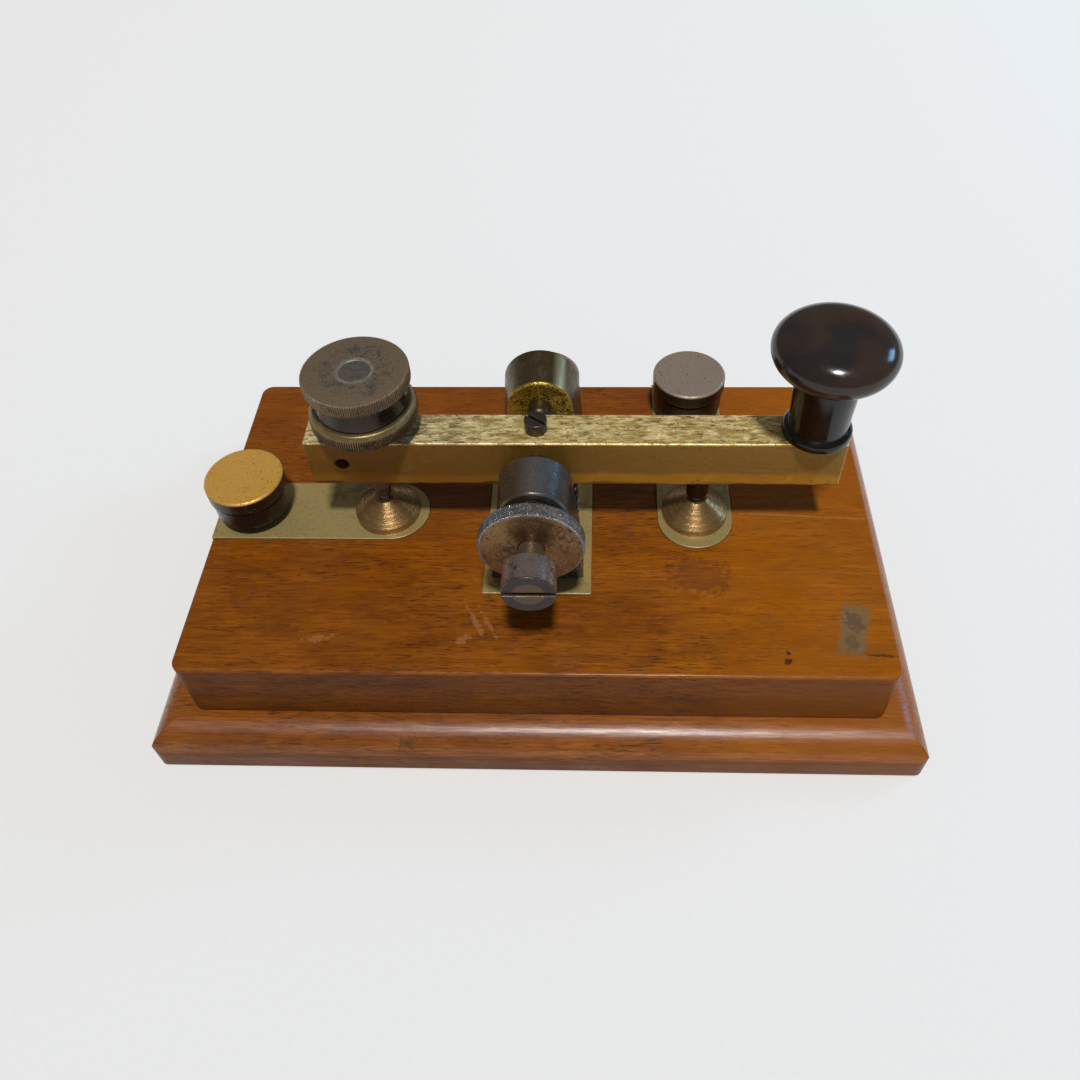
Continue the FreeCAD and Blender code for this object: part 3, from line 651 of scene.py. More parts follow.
@dataclass(frozen=True)
class LeverBrass(Metal):
    """The lever's brass: a paler top, partly a painted sheen, a darker front face in painted shade, a painted
    shade line along its bottom edge, bright low down, and a few deep pits.
    """

    top: float = 54.6 * MM
    bottom: float = 42.2 * MM
    side_top: Zone = (0.15 * MM, 0.5 * MM)
    gold_reach: Zone = (4.4 * MM, 2.2 * MM)
    edge_shade_reach: Zone = (0.9 * MM, 0.1 * MM)
    shade_zone: Zone = (-40 * MM, 50 * MM)
    gold_zone: Zone = (-10 * MM, 15 * MM)
    silver_zone: Zone = (8 * MM, -30 * MM)
    silver: Color = tone(148, 130, 98)
    pale: Color = tone(246, 222, 160)
    shade: Color = tone(118, 78, 14)
    gold: Color = tone(206, 152, 42)
    dark_marks_and_edge_shade: Color = tone(40, 26, 12)

    def extra(self, nodes: Nodes, point: object, color: object) -> object:
        """Adds the lever's own zones: silvery towards the back on top, pale patches that are partly a painted
        sheen and dark streaks on top, and on the sides painted shade, a bright band low down and a painted
        shade line along the bottom edge.
        """
        x, y, z = nodes.parts(point)
        ragged = nodes.noise(nodes.place(point, scale=(0.25, 1.0, 1.0)), 300.0, 4.0, 0.6)
        height = nodes.total(z, nodes.product(nodes.less(ragged, 0.5), 5 * MM))
        on_side = nodes.spread(z, *(self.top - depth for depth in self.side_top))
        on_top = nodes.less(1.0, on_side)
        # Painted shade: the sides are darkened, more at the left end than at the right.
        shaded = nodes.product(on_side, nodes.spread(x, *self.shade_zone, 0.90, 0.62))
        color = nodes.mix(shaded, color, self.shade)
        low_band = nodes.spread(height, *(self.bottom + reach for reach in self.gold_reach))
        golden = nodes.product(low_band, on_side, nodes.spread(x, *self.gold_zone, 0.25, 0.65))
        color = nodes.mix(golden, color, self.gold)
        # Painted shade: a dark line along the bottom edge of the sides, where they turn under.
        low_edge_shade = nodes.spread(height, *(self.bottom + reach for reach in self.edge_shade_reach))
        color = nodes.mix(nodes.product(low_edge_shade, on_side, 0.75), color, self.dark_marks_and_edge_shade)
        back = nodes.product(nodes.spread(x, *self.silver_zone), on_top, 0.75)
        color = nodes.mix(back, color, self.silver)
        # Pale patches on top: partly the brass's own uneven colour, partly a painted sheen of the lamps.
        moved = nodes.place(point, move=(5.0, 1.0, 2.0), scale=(260.0, 900.0, 900.0))
        bright = nodes.noise(moved, 1.0, 5.0, 0.75, 0.4)
        color = nodes.mix(nodes.product(nodes.spread(bright, 0.42, 0.58), on_top, 0.90), color, self.pale)
        # Real dark streaks and scored lines on top, in the same dark colour as the painted edge shade.
        streaks = nodes.noise(nodes.place(point, scale=(420.0, 1700.0, 1700.0)), 1.0, 5.0, 0.8, 0.5)
        scored = nodes.noise(nodes.place(point, turn=24.0, scale=(130.0, 2600.0, 2600.0)), 1.0, 3.0, 0.7, 0.6)
        marks = nodes.either(nodes.spread(streaks, 0.53, 0.61), nodes.spread(scored, 0.60, 0.66))
        return nodes.mix(nodes.product(marks, on_top, 0.80), color, self.dark_marks_and_edge_shade)


@dataclass(frozen=True)
class CrazedBrass(Metal):
    """The rear standard's brass: its near face is bright yellow under a net of dark cracks."""

    face: float = 13.0 * MM
    face_depth: Zone = (0.5 * MM, 0.2 * MM)
    foot: Zone = (36 * MM, 40 * MM)
    yellow: Color = tone(252, 214, 96)
    crack: Color = tone(40, 32, 14)

    def extra(self, nodes: Nodes, point: object, color: object) -> object:
        """Adds the bright near face. A crack is where the noise is close to its middle value."""
        _, y, z = nodes.parts(point)
        near = nodes.spread(y, *(self.face + depth for depth in self.face_depth))
        near = nodes.product(near, nodes.spread(z, *self.foot))
        net = nodes.noise(point, 700.0, 3.0, 0.6, 1.5)
        crack = nodes.spread(nodes.math("ABSOLUTE", nodes.less(net, 0.5)), 0.045, 0.015)
        return nodes.mix(near, color, nodes.mix(crack, self.yellow, self.crack))


@dataclass(frozen=True)
class AdjusterBronze(Metal):
    """The adjuster's bronze: a pale ring round the screw on top, and coppery specks towards the rim."""

    ring: float = 3.55 * MM
    rim: float = 10.9 * MM
    top: Zone = (69.8 * MM, 70.3 * MM)
    pale: Color = tone(150, 146, 132)
    copper: Color = tone(158, 118, 84)

    def extra(self, nodes: Nodes, point: object, color: object) -> object:
        """Adds the ring and the coppery rim by the distance from the axis."""
        distance = Turning.use(nodes, point=point, middle=self.middle, across=self.axis.value)["Radius"]
        _, _, z = nodes.parts(point)
        on_top = nodes.spread(z, *self.top)
        ragged = nodes.product(nodes.less(nodes.noise(point, 700.0, 3.0), 0.5), 1.2 * MM)
        edge = nodes.total(distance, ragged)
        inner = nodes.spread(edge, self.ring - 0.7 * MM, self.ring - 0.3 * MM)
        outer = nodes.spread(edge, self.ring + 0.6 * MM, self.ring + 0.1 * MM)
        color = nodes.mix(nodes.product(inner, outer, on_top, 0.65), color, self.pale)
        dust = nodes.spread(nodes.noise(point, 2100.0, 2.0, 0.6), 0.50, 0.62)
        near_rim = nodes.spread(distance, 0.55 * self.rim, 0.97 * self.rim)
        return nodes.mix(nodes.product(dust, near_rim, on_top, 0.5), color, self.copper)


@dataclass(frozen=True)
class Ebonite(Finish):
    """Polished hard rubber: brown black, a little mottled, with a few fine scratches in its gloss."""

    name: str
    base: Color
    brown: Color
    shade: Color
    shade_top: float
    shade_fade: float = 3 * MM
    scratch_depth: float = 0.008 * MM

    def build(self, nodes: Nodes, shader: bpy.types.Node, point: object) -> None:
        """Builds the hard rubber's nodes.

        Args:
            nodes: calls on the material's tree.
            shader: its Principled BSDF.
            point: socket of the Object coordinates.
        """
        mottle = Mottle.use(nodes, point=point, scale=90.0)
        lines = Scratches.use(nodes, point=point, scale=1.2, amount=0.25)
        color = nodes.mix(nodes.product(mottle["Cloud"], 0.7), self.base, self.brown)
        low = nodes.spread(nodes.parts(point)[2], self.shade_top, self.shade_top - self.shade_fade)
        color = nodes.mix(nodes.product(low, 0.95), color, self.shade)
        nodes.put(shader.inputs["Base Color"], color)
        smear = nodes.total(nodes.product(mottle["Blotch"], 0.5), nodes.product(lines["Scratch"], 0.5))
        nodes.put(shader.inputs["Roughness"], nodes.spread(smear, 0.0, 1.0, 0.14, 0.30))
        cut = nodes.product(lines["Scratch"], -1.0)
        nodes.put(shader.inputs["Normal"], nodes.bump(cut, self.scratch_depth))
        shader.inputs["Specular IOR Level"].default_value = 0.45


@dataclass(frozen=True)
class Corner:
    """A corner of a turned profile: its radius and height in metres, and how far its rounding reaches."""

    radius: float
    height: float
    soft: float = 0.0


def rounded_profile(corners: list[Corner], closed: bool, steps: int = 5) -> np.ndarray:
    """Rounds the corners of a profile.

    At each corner P the profile leaves its sides at A and B, each soft away from P, and follows the curve
    (1-s)^2 A + 2 s (1-s) P + s^2 B between them.

    Args:
        corners: the profile's corners, outward face on the right when going up.
        closed: whether the last corner joins the first.
        steps: points on each rounding.

    Returns:
        An array of radius and height, one row for each point.
    """
    points = np.array([(corner.radius, corner.height) for corner in corners])
    soft = np.array([corner.soft for corner in corners])
    before = np.roll(points, 1, axis=0) - points
    after = np.roll(points, -1, axis=0) - points
    start = points + before * (soft / np.maximum(np.linalg.norm(before, axis=1), 1e-9))[:, None]
    end = points + after * (soft / np.maximum(np.linalg.norm(after, axis=1), 1e-9))[:, None]
    s = np.linspace(0.0, 1.0, steps)[None, :, None]
    curve = (1 - s) ** 2 * start[:, None] + 2 * s * (1 - s) * points[:, None] + s ** 2 * end[:, None]
    rows = []
    for index, corner in enumerate(corners):
        at_end = not closed and index in (0, len(corners) - 1)
        rows.append(points[index:index + 1] if at_end or corner.soft == 0.0 else curve[index])
    return np.concatenate(rows)


@dataclass(frozen=True)
class Knurl:
    """Straight teeth on a rim: their number and depth, and the radius where they have faded out."""

    teeth: int
    depth: float
    rim: float
    fade: float

    def cut(self, radius: np.ndarray, angle: np.ndarray) -> np.ndarray:
        """Cuts the teeth: a triangle wave of the angle, at full depth on the rim and none below rim - fade.

        Args:
            radius: radius of each row.
            angle: angle of each column.

        Returns:
            Radius of each point, rows by columns.
        """
        strength = np.clip((radius - (self.rim - self.fade)) / self.fade, 0.0, 1.0)
        wave = np.abs(2 * np.mod(self.teeth * angle / math.tau, 1.0) - 1)
        return radius[:, None] - self.depth * strength[:, None] * wave[None, :]


def grid_faces(rows: int, columns: int, closed: bool = False) -> list[list[int]]:
    """Joins rows of points, each of them a ring, with quads.

    Args:
        rows: number of rings.
        columns: number of points in each ring.
        closed: whether the last ring joins the first.

    Returns:
        The faces, outward where the rows go up and the columns go round against the clock.
    """
    row, column = np.meshgrid(np.arange(rows if closed else rows - 1), np.arange(columns), indexing="ij")
    after = (column + 1) % columns
    above = (row + 1) % rows
    low = row * columns
    high = above * columns
    corners = (low + column, low + after, high + after, high + column)
    return np.stack(corners, axis=-1).reshape(-1, 4).tolist()


def mesh_piece(name: str, points: np.ndarray, faces: list) -> bpy.types.Object:
    """Makes an object at the origin that is smooth, but sharp at edges of more than SHARP_ANGLE degrees.

    Args:
        name: its name.
        points: rows of X, Y and Z.
        faces: the points of each face.

    Returns:
        The new object.
    """
    mesh = bpy.data.meshes.new(name)
    mesh.from_pydata(points.tolist(), [], faces)
    mesh.shade_smooth()
    mesh.set_sharp_from_angle(angle=math.radians(SHARP_ANGLE))
    piece = bpy.data.objects.new(name, mesh)
    bpy.context.scene.collection.objects.link(piece)
    return piece


def turned_piece(name: str, profile: np.ndarray, middle: Vector, axis: Axis, columns: int,
                 knurl: Knurl | None = None) -> bpy.types.Object:
    """Makes a closed turned piece.

    A point is middle + radius cos(t) e1 + radius sin(t) e2 + height e3, with t round the axis e3. A profile
    that starts and ends at radius 0 closes on a pole at each end, and any other profile closes on itself.

    Args:
        name: the piece's name.
        profile: rows of radius and height, outward face on the right when going up.
        middle: the point of height 0 on the axis.
        axis: the axis. CROSSWISE points to -Y.
        columns: number of points round the axis.
        knurl: teeth on the rim, if it has any.

    Returns:
        The new object, at the origin.
    """
    e1, e2, e3 = np.eye(3)
    if axis is Axis.CROSSWISE:
        e2, e3 = e3, -e2
    poles = profile[0, 0] == 0.0
    rows = profile[1:-1] if poles else profile
    angle = np.linspace(0.0, math.tau, columns, endpoint=False)
    radius = knurl.cut(rows[:, 0], angle) if knurl else np.repeat(rows[:, :1], columns, axis=1)
    across = np.cos(angle)[:, None] * e1 + np.sin(angle)[:, None] * e2
    points = np.array(middle) + radius[:, :, None] * across + rows[:, 1][:, None, None] * e3
    points = points.reshape(-1, 3)
    faces = grid_faces(len(rows), columns, closed=not poles)
    if poles:
        count = len(points)
        points = np.concatenate([points, np.array(middle) + profile[[0, -1], 1][:, None] * e3])
        ring = np.arange(columns)
        after = (ring + 1) % columns
        top_ring = count - columns
        faces += np.stack([np.full(columns, count), after, ring], axis=-1).tolist()
        faces += np.stack([np.full(columns, count + 1), top_ring + ring, top_ring + after], axis=-1).tolist()
    return mesh_piece(name, points, faces)


def settle(piece: bpy.types.Object, finish: Finish, body: str, node: str, reaches: str = "") -> None:
    """Gives a new piece its finish, lets it move with its body unless it reaches a second body, and has it
    stand for its CAD node.

    Args:
        piece: the new piece.
        finish: its finish.
        body: the CAD body that it moves with.
        node: the CAD node that it replaces.
        reaches: a second body, for a piece that spans from the first body below to this one above. Such a
            piece is attached to neither body; only its transform is baked.
    """
    piece.data.materials.append(finish.material())
    if reaches:
        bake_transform(piece)
    else:
        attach(piece, body)
    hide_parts(node)
    log.info("made %s for %s on %s, %d faces", piece.name, node, body, len(piece.data.polygons))


def middle_of(node: str, height: float | None = None) -> Triple:
    """Returns the middle of a CAD node's box.

    Args:
        node: the node's name.
        height: a Z to use in place of the middle's own.
    """
    low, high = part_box(node)
    middle = (low + high) / 2
    return (middle.x, middle.y, middle.z if height is None else height)


@dataclass
class Base:
    """The stepped wooden base with its screws and the brass straps let into its top."""

    light: Color = tone(162, 91, 6)
    deep: Color = tone(104, 52, 4)
    dark: Color = tone(38, 18, 5)
    worn: Color = tone(172, 116, 58)
    back: Color = tone(112, 56, 24)
    pale: Color = tone(164, 112, 66)
    stain: Color = tone(88, 42, 22)
    black: Color = tone(44, 22, 14)
    paper: Color = tone(112, 92, 64)
    soot: Color = tone(66, 52, 40)

    def block_marks(self) -> tuple[Mark, ...]:
        """Returns the marks on the block's top."""
        return (
            Mark(-12.5, -30.5, 4.6, 0.55, -62, self.pale, 0.45, 0.9),
            Mark(-9.6, -31.0, 4.4, 0.45, -62, self.pale, 0.40, 0.9),
            Mark(-15.0, -35.0, 1.8, 0.8, 30, self.pale, 0.45, 0.9),
            Mark(-45.3, -34.8, 3.4, 0.7, 8, self.pale, 0.40, 0.9),
            Mark(66.4, -31.4, 2.9, 6.4, -14, self.paper, 0.85, 0.30, square=True),
            Mark(66.9, -29.6, 1.6, 2.6, 20, self.soot, 0.45, 0.9),
            Mark(65.6, -34.6, 1.3, 2.0, -15, self.soot, 0.40, 0.9),
            Mark(71.0, -37.6, 3.0, 0.35, -4, self.black, 0.65, 0.6),
            Mark(51.9, -39.3, 0.9, 0.7, 0, self.black, 0.85, 0.6),
            Mark(52.2, -37.3, 0.5, 0.5, 0, self.black, 0.85, 0.6),
            Mark(35.5, -17.6, 6.5, 5.0, 0, self.stain, 0.45, 0.7),
            Mark(59.0, -0.7, 15.0, 0.25, -3, self.pale, 0.55, 0.6),
        )

    def plinth_marks(self) -> tuple[Mark, ...]:
        """Returns the dent in the plinth's front edge."""
        return (Mark(-27.0, -48.9, 2.2, 1.1, 10, self.soot, 0.55, 0.9),)

    def dress(self) -> None:
        """Dresses the wood, the straps and the steel screws."""
        woods = (self.light, self.deep, self.dark, self.worn, self.back)
        Mahogany("mahogany_block", *woods, marks=self.block_marks()).dress("base_block")
        plinth = Mahogany("mahogany_plinth", *woods, shift=(0.31, 0.17, 0.05), marks=self.plinth_marks(),
                          edge_radius=0.5 * MM, polish=0.8, polish_rough=0.34)
        plinth.dress("base_plinth")
        strap = Metal("strap_metal", tone(176, 154, 98), tone(136, 114, 66), tone(210, 194, 148), clouds=90.0,
                      tarnished=0.45, speckled=0.2, scratched=0.3, smooth=0.38, rough=0.55, metallic=0.45)
        strap.dress("back_strap", "front_strap", "bridge_strap")
        screws = Metal("screw_steel", tone(120, 116, 116), tone(66, 60, 58), tone(170, 168, 166), smooth=0.3)
        screws.dress("base_screws", "bridge_screws", "spring_guide", "knob_screw")


@dataclass
class Terminals:
    """The three wire terminals: a post, a washer and a round clamping head each."""

    places: tuple[str, ...] = ("left", "middle", "right")

    def dress(self) -> None:
        """Dresses each terminal, the left one brighter than the other two, and the nuts under the block."""
        for number, place in enumerate(self.places):
            golden = place == "left"
            clean = tone(246, 190, 90) if golden else tone(176, 156, 138)
            tarnish = tone(176, 120, 44) if golden else tone(126, 108, 94)
            middle = middle_of(place + "_terminal_head", 0.0)
            low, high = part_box(place + "_terminal_head")
            rim = Band(Measure.Z, low.z, high.z - 0.35 * MM, tone(46, 36, 22), 1.0, gloss=0.1)
            head = Metal(place + "_head_metal", clean, tarnish, tone(214, 184, 120), clouds=300.0,
                         tarnished=0.45, shift=(0.1 * number, 0.0, 0.0), middle=middle, smooth=0.34,
                         rough=0.55, metallic=0.55, speckled=0.6, pitted=0.8, bands=(rim,))
            head.dress(place + "_terminal_head")
            post = Metal(place + "_post_metal", tone(74, 66, 60), tone(36, 32, 31), tone(140, 128, 106),
                         clouds=200.0, middle=middle, tarnished=0.7, smooth=0.20, rough=0.34)
            post.dress(place + "_terminal_post", place + "_terminal_washer")
        hidden = Metal("nut_brass", tone(140, 118, 70), tone(90, 74, 44), tone(180, 160, 110))
        hidden.dress("stud_washers", "stud_nuts")


@dataclass
class Bridge:
    """The pivot bridge: two standards, the pivot screws and the knurled lock nut."""

    teeth: int = 140
    tooth_depth: float = 0.55 * MM
    rim_soft: float = 0.35 * MM
    hub_soft: float = 0.4 * MM
    hub_length: float = 5.0 * MM
    hub_radius: float = 6.0 * MM
    bore: float = 2.7 * MM

    def lock_nut(self, finish: Finish) -> None:
        """Builds the knurled lock nut: a hub behind a toothed flange, bored for the pivot screw.

        Args:
            finish: the nut's metal.
        """
        low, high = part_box("front_lock_nut")
        rim = (high.x - low.x) / 2
        back = -high.y
        front = -low.y
        hub_end = back + self.hub_length
        corners = [Corner(self.bore, back), Corner(self.hub_radius, back, self.hub_soft),
                   Corner(self.hub_radius, hub_end), Corner(rim, hub_end, self.rim_soft),
                   Corner(rim, front, self.rim_soft), Corner(self.bore, front)]
        profile = rounded_profile(corners, closed=True)
        middle = Vector(middle_of("front_lock_nut"))
        middle.y = 0.0
        knurl = Knurl(self.teeth, self.tooth_depth, rim, FADE * self.rim_soft)
        piece = turned_piece("lock_nut_knurled", profile, middle, Axis.CROSSWISE,
                             self.teeth * COLUMNS_PER_TOOTH, knurl)
        settle(piece, finish, "pivot_nut", "front_lock_nut")

    def dress(self) -> None:
        """Dresses the standards, screws and nut."""
        pivot = middle_of("front_pivot_screw")
        x = pivot[0]
        # Painted reflections on the front standard: the brown zone on the left stands for the mahogany
        # mirrored in it, the slate zone on the right for the cool window.
        brown = Band(Measure.X, x - 12 * MM, x - 1.5 * MM, tone(96, 70, 44), 0.75, soft=2.5 * MM)
        slate = Band(Measure.X, x + 2.0 * MM, x + 12 * MM, tone(86, 92, 104), 0.75, soft=2.5 * MM)
        front = Metal("front_standard_metal", tone(132, 126, 120), tone(76, 70, 66), tone(170, 150, 116),
                      clouds=170.0, tarnished=0.55, speckled=0.6, edge=0.3, middle=pivot,
                      axis=Axis.CROSSWISE, smooth=0.26, rough=0.46, metallic=0.75, bands=(brown, slate))
        front.dress("front_standard")
        side = Band(Measure.Y, 13.6 * MM, 40 * MM, tone(74, 64, 50), 0.7, soft=0.3 * MM)
        # Painted highlight: a pale strip along the right side of the rear boss.
        painted_highlight_strip = Band(Measure.X, x + 3.4 * MM, x + 5.6 * MM, tone(206, 184, 140), 0.6, soft=0.7 * MM)
        rear = CrazedBrass("rear_standard_metal", tone(150, 128, 74), tone(78, 64, 44), tone(200, 176, 110),
                           clouds=260.0, tarnished=0.5, middle=pivot, axis=Axis.CROSSWISE, smooth=0.3,
                           rough=0.5, bands=(side, painted_highlight_strip))
        rear.dress("rear_standard")
        screw_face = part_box("front_pivot_screw")[0].y
        face = Band(Measure.Y, screw_face - MM, screw_face + 0.3 * MM, tone(44, 35, 32), 0.95)
        neck = Band(Measure.RADIUS, 0.0, 3.2 * MM, tone(112, 88, 56), 0.5)
        screw = Metal("pivot_steel", tone(156, 138, 130), tone(76, 62, 56), tone(186, 176, 168), clouds=230.0,
                      tarnished=0.6, middle=pivot, axis=Axis.CROSSWISE, smooth=0.26, rough=0.44,
                      metallic=0.75, bands=(face, neck))
        screw.dress("front_pivot_screw")
        blackened = Metal("blackened_steel", tone(84, 74, 66), tone(44, 36, 32), tone(140, 128, 112),
                          clouds=220.0, smooth=0.28, rough=0.46, metallic=0.75)
        blackened.dress("arbor_set_screw", "lever_arbor")
        browned = Metal("browned_steel", tone(96, 82, 60), tone(58, 46, 34), tone(150, 130, 96), clouds=180.0,
                        middle=pivot, axis=Axis.CROSSWISE, smooth=0.3, rough=0.48)
        browned.dress("rear_pivot_screw")
        nut_low, nut_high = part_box("front_lock_nut")
        nut_rim = (nut_high.x - nut_low.x) / 2
        knurled = Band(Measure.RADIUS, nut_rim - 0.45 * MM, nut_rim + MM, tone(158, 160, 168), 0.95,
                       gloss=0.05)
        # Painted shade: the hub, in the gap between the knurled flange and the front boss, is darkened for
        # the shadow there.
        hub = Band(Measure.Y, nut_high.y - 4.8 * MM, nut_high.y + MM, tone(44, 36, 28), 0.85)
        nut = Metal("lock_nut_metal", tone(146, 112, 74), tone(76, 58, 40), tone(178, 164, 140), clouds=320.0,
                    tarnished=0.6, pitted=0.35, middle=pivot, axis=Axis.CROSSWISE, ring_depth=0.02 * MM,
                    smooth=0.26, rough=0.44, bands=(hub, knurled))
        self.lock_nut(nut)


@dataclass
class Lever:
    """The brass lever with its contact stud and the turned knob."""

    knob_columns: int = 160
    curve_steps: int = 14
    stem_steps: int = 12
    dish_steps: int = 8
    foot_radius: float = 7.2 * MM
    foot_height: float = 1.6 * MM
    foot_soft: float = 0.6 * MM
    edge_soft: float = 0.2 * MM
    fillet_height: float = 0.8 * MM
    fillet_soft: float = 0.4 * MM
    stem_start: float = 0.15
    stem_radius: float = 6.2 * MM
    neck_radius: float = 6.6 * MM
    crown_height: float = 4.4 * MM
    under_height: float = 4.8 * MM
    dish_radius: float = 6.0 * MM
    dish_depth: float = 0.4 * MM

    def knob(self, finish: Finish) -> None:
        """Builds the operator's knob: foot ring, waisted stem, and a wide head with a shallow dish on top.

        The underside and the crown are quarter ellipses: radius = middle + half width cos(t) and
        height = middle + half height sin(t). The stem's radius follows a sine between foot and neck.

        Args:
            finish: the knob's hard rubber.
        """
        low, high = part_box("key_knob")
        rim = (high.x - low.x) / 2
        middle = high.z - self.crown_height
        neck = middle - self.under_height
        foot = low.z + self.foot_height
        t = np.linspace(0.0, math.pi / 2, self.curve_steps)
        ring = [Corner(0.0, low.z), Corner(self.foot_radius, low.z, self.edge_soft),
                Corner(self.foot_radius, foot, self.foot_soft),
                Corner(self.stem_radius, foot + self.fillet_height, self.fillet_soft)]
        rise = np.linspace(self.stem_start, 1.0, self.stem_steps)
        stem = self.stem_radius + (self.neck_radius - self.stem_radius) * (1 - np.cos(rise * math.pi)) / 2
        stem_rows = np.stack([stem, foot + rise * (neck - foot)], axis=1)
        under = np.stack([self.neck_radius + (rim - self.neck_radius) * np.sin(t),
                          middle - self.under_height * np.cos(t)], axis=1)
        crown = np.stack([self.dish_radius + (rim - self.dish_radius) * np.cos(t),
                          middle + self.crown_height * np.sin(t)], axis=1)
        inward = np.linspace(1.0, 0.0, self.dish_steps)
        dish = np.stack([self.dish_radius * inward, high.z - self.dish_depth * (1 - inward ** 2)], axis=1)
        ring_rows = rounded_profile(ring, closed=False)
        profile = np.concatenate([ring_rows, stem_rows, under[1:], crown[1:], dish[1:]])
        place = Vector(middle_of("key_knob", 0.0))
        piece = turned_piece("key_knob_turned", profile, place, Axis.UPRIGHT, self.knob_columns)
        settle(piece, finish, "lever", "key_knob")

    def dress(self) -> None:
        """Dresses the lever, its contacts and the knob."""
        brass = LeverBrass("lever_metal", tone(212, 180, 100), tone(156, 122, 52), tone(226, 200, 140),
                           edge=0.4, clouds=260.0, tarnished=0.5, speckled=0.5, brushed=0.55, scratched=0.4,
                           pitted=0.9, smooth=0.34, rough=0.56, metallic=0.45, scratch_light=0.12)
        brass.dress("lever_bar")
        stud = Metal("stud_metal", tone(62, 50, 36), tone(30, 24, 18), tone(120, 98, 64),
                     middle=middle_of("front_contact_stud", 0.0))
        stud.dress("front_contact_stud")
        Metal("contact_silver", tone(190, 186, 178), tone(120, 114, 104), tone(220, 218, 212)).dress(
            "lever_contact_tip", "front_anvil_tip", "back_anvil_tip", "adjusting_screw_tip")
        rubber = Ebonite("hard_rubber", tone(36, 31, 30), tone(58, 42, 30), tone(12, 7, 5), shade_top=71 * MM)
        self.knob(rubber)


@dataclass
class Spring:
    """The coil spring under the lever. The real one shortens as the lever comes down; this coil is built
    once, at one length.
    """

    turns: int = 6
    flat_turns: float = 0.7
    wire_radius: float = 0.35 * MM
    steps: int = 32
    sides: int = 12

    def coil(self, finish: Finish) -> None:
        """Builds the spring as a round wire along a helix, of which the first and last turns lie flat.

        With turn angle a and outward direction n, the wire's middle is axis + coil radius n + height(a) e3.
        A surface point is that middle + wire radius (cos(u) n + sin(u) b), with b across n and the wire.

        Args:
            finish: the spring's steel.
        """
        low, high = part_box("return_spring")
        axis = np.array([(low.x + high.x) / 2, (low.y + high.y) / 2, low.z + self.wire_radius])
        radius = (high.y - low.y) / 2 - self.wire_radius
        turn = np.linspace(0.0, self.turns, self.turns * self.steps + 1)
        share = np.clip((turn - self.flat_turns) / (self.turns - 2 * self.flat_turns), 0.0, 1.0)
        height = share * (high.z - low.z - 2 * self.wire_radius)
        angle = math.tau * turn
        outward = np.stack([np.cos(angle), np.sin(angle), np.zeros_like(angle)], axis=1)
        middle = axis + radius * outward + height[:, None] * np.array([0.0, 0.0, 1.0])
        along = np.gradient(middle, axis=0)
        along /= np.linalg.norm(along, axis=1)[:, None]
        across = np.cross(along, outward)
        u = np.linspace(0.0, math.tau, self.sides, endpoint=False)[None, :, None]
        ring = np.cos(u) * outward[:, None] + np.sin(u) * across[:, None]
        points = (middle[:, None] + self.wire_radius * ring).reshape(-1, 3)
        foot = list(range(self.sides))[::-1]
        crown = list(range(len(points) - self.sides, len(points)))
        faces = grid_faces(len(turn), self.sides) + [foot, crown]
        piece = mesh_piece("return_spring_coil", points, faces)
        settle(piece, finish, "base", "return_spring", reaches="lever")

    def dress(self) -> None:
        """Builds the spring in dark steel."""
        steel = Metal("spring_steel", tone(120, 116, 116), tone(66, 60, 58), tone(170, 168, 166), smooth=0.3)
        self.coil(steel)


@dataclass
class Contacts:
    """The two contact anvils on the base."""

    def dress(self) -> None:
        """Dresses the anvils in turned bronze."""
        for name in ("back_anvil", "front_anvil"):
            anvil = Metal(name + "_metal", tone(160, 126, 78), tone(92, 68, 42), tone(204, 178, 130),
                          clouds=400.0, tarnished=0.40, speckled=0.25, middle=middle_of(name, 0.0),
                          smooth=0.24, rough=0.40, metallic=0.75)
            anvil.dress(name)


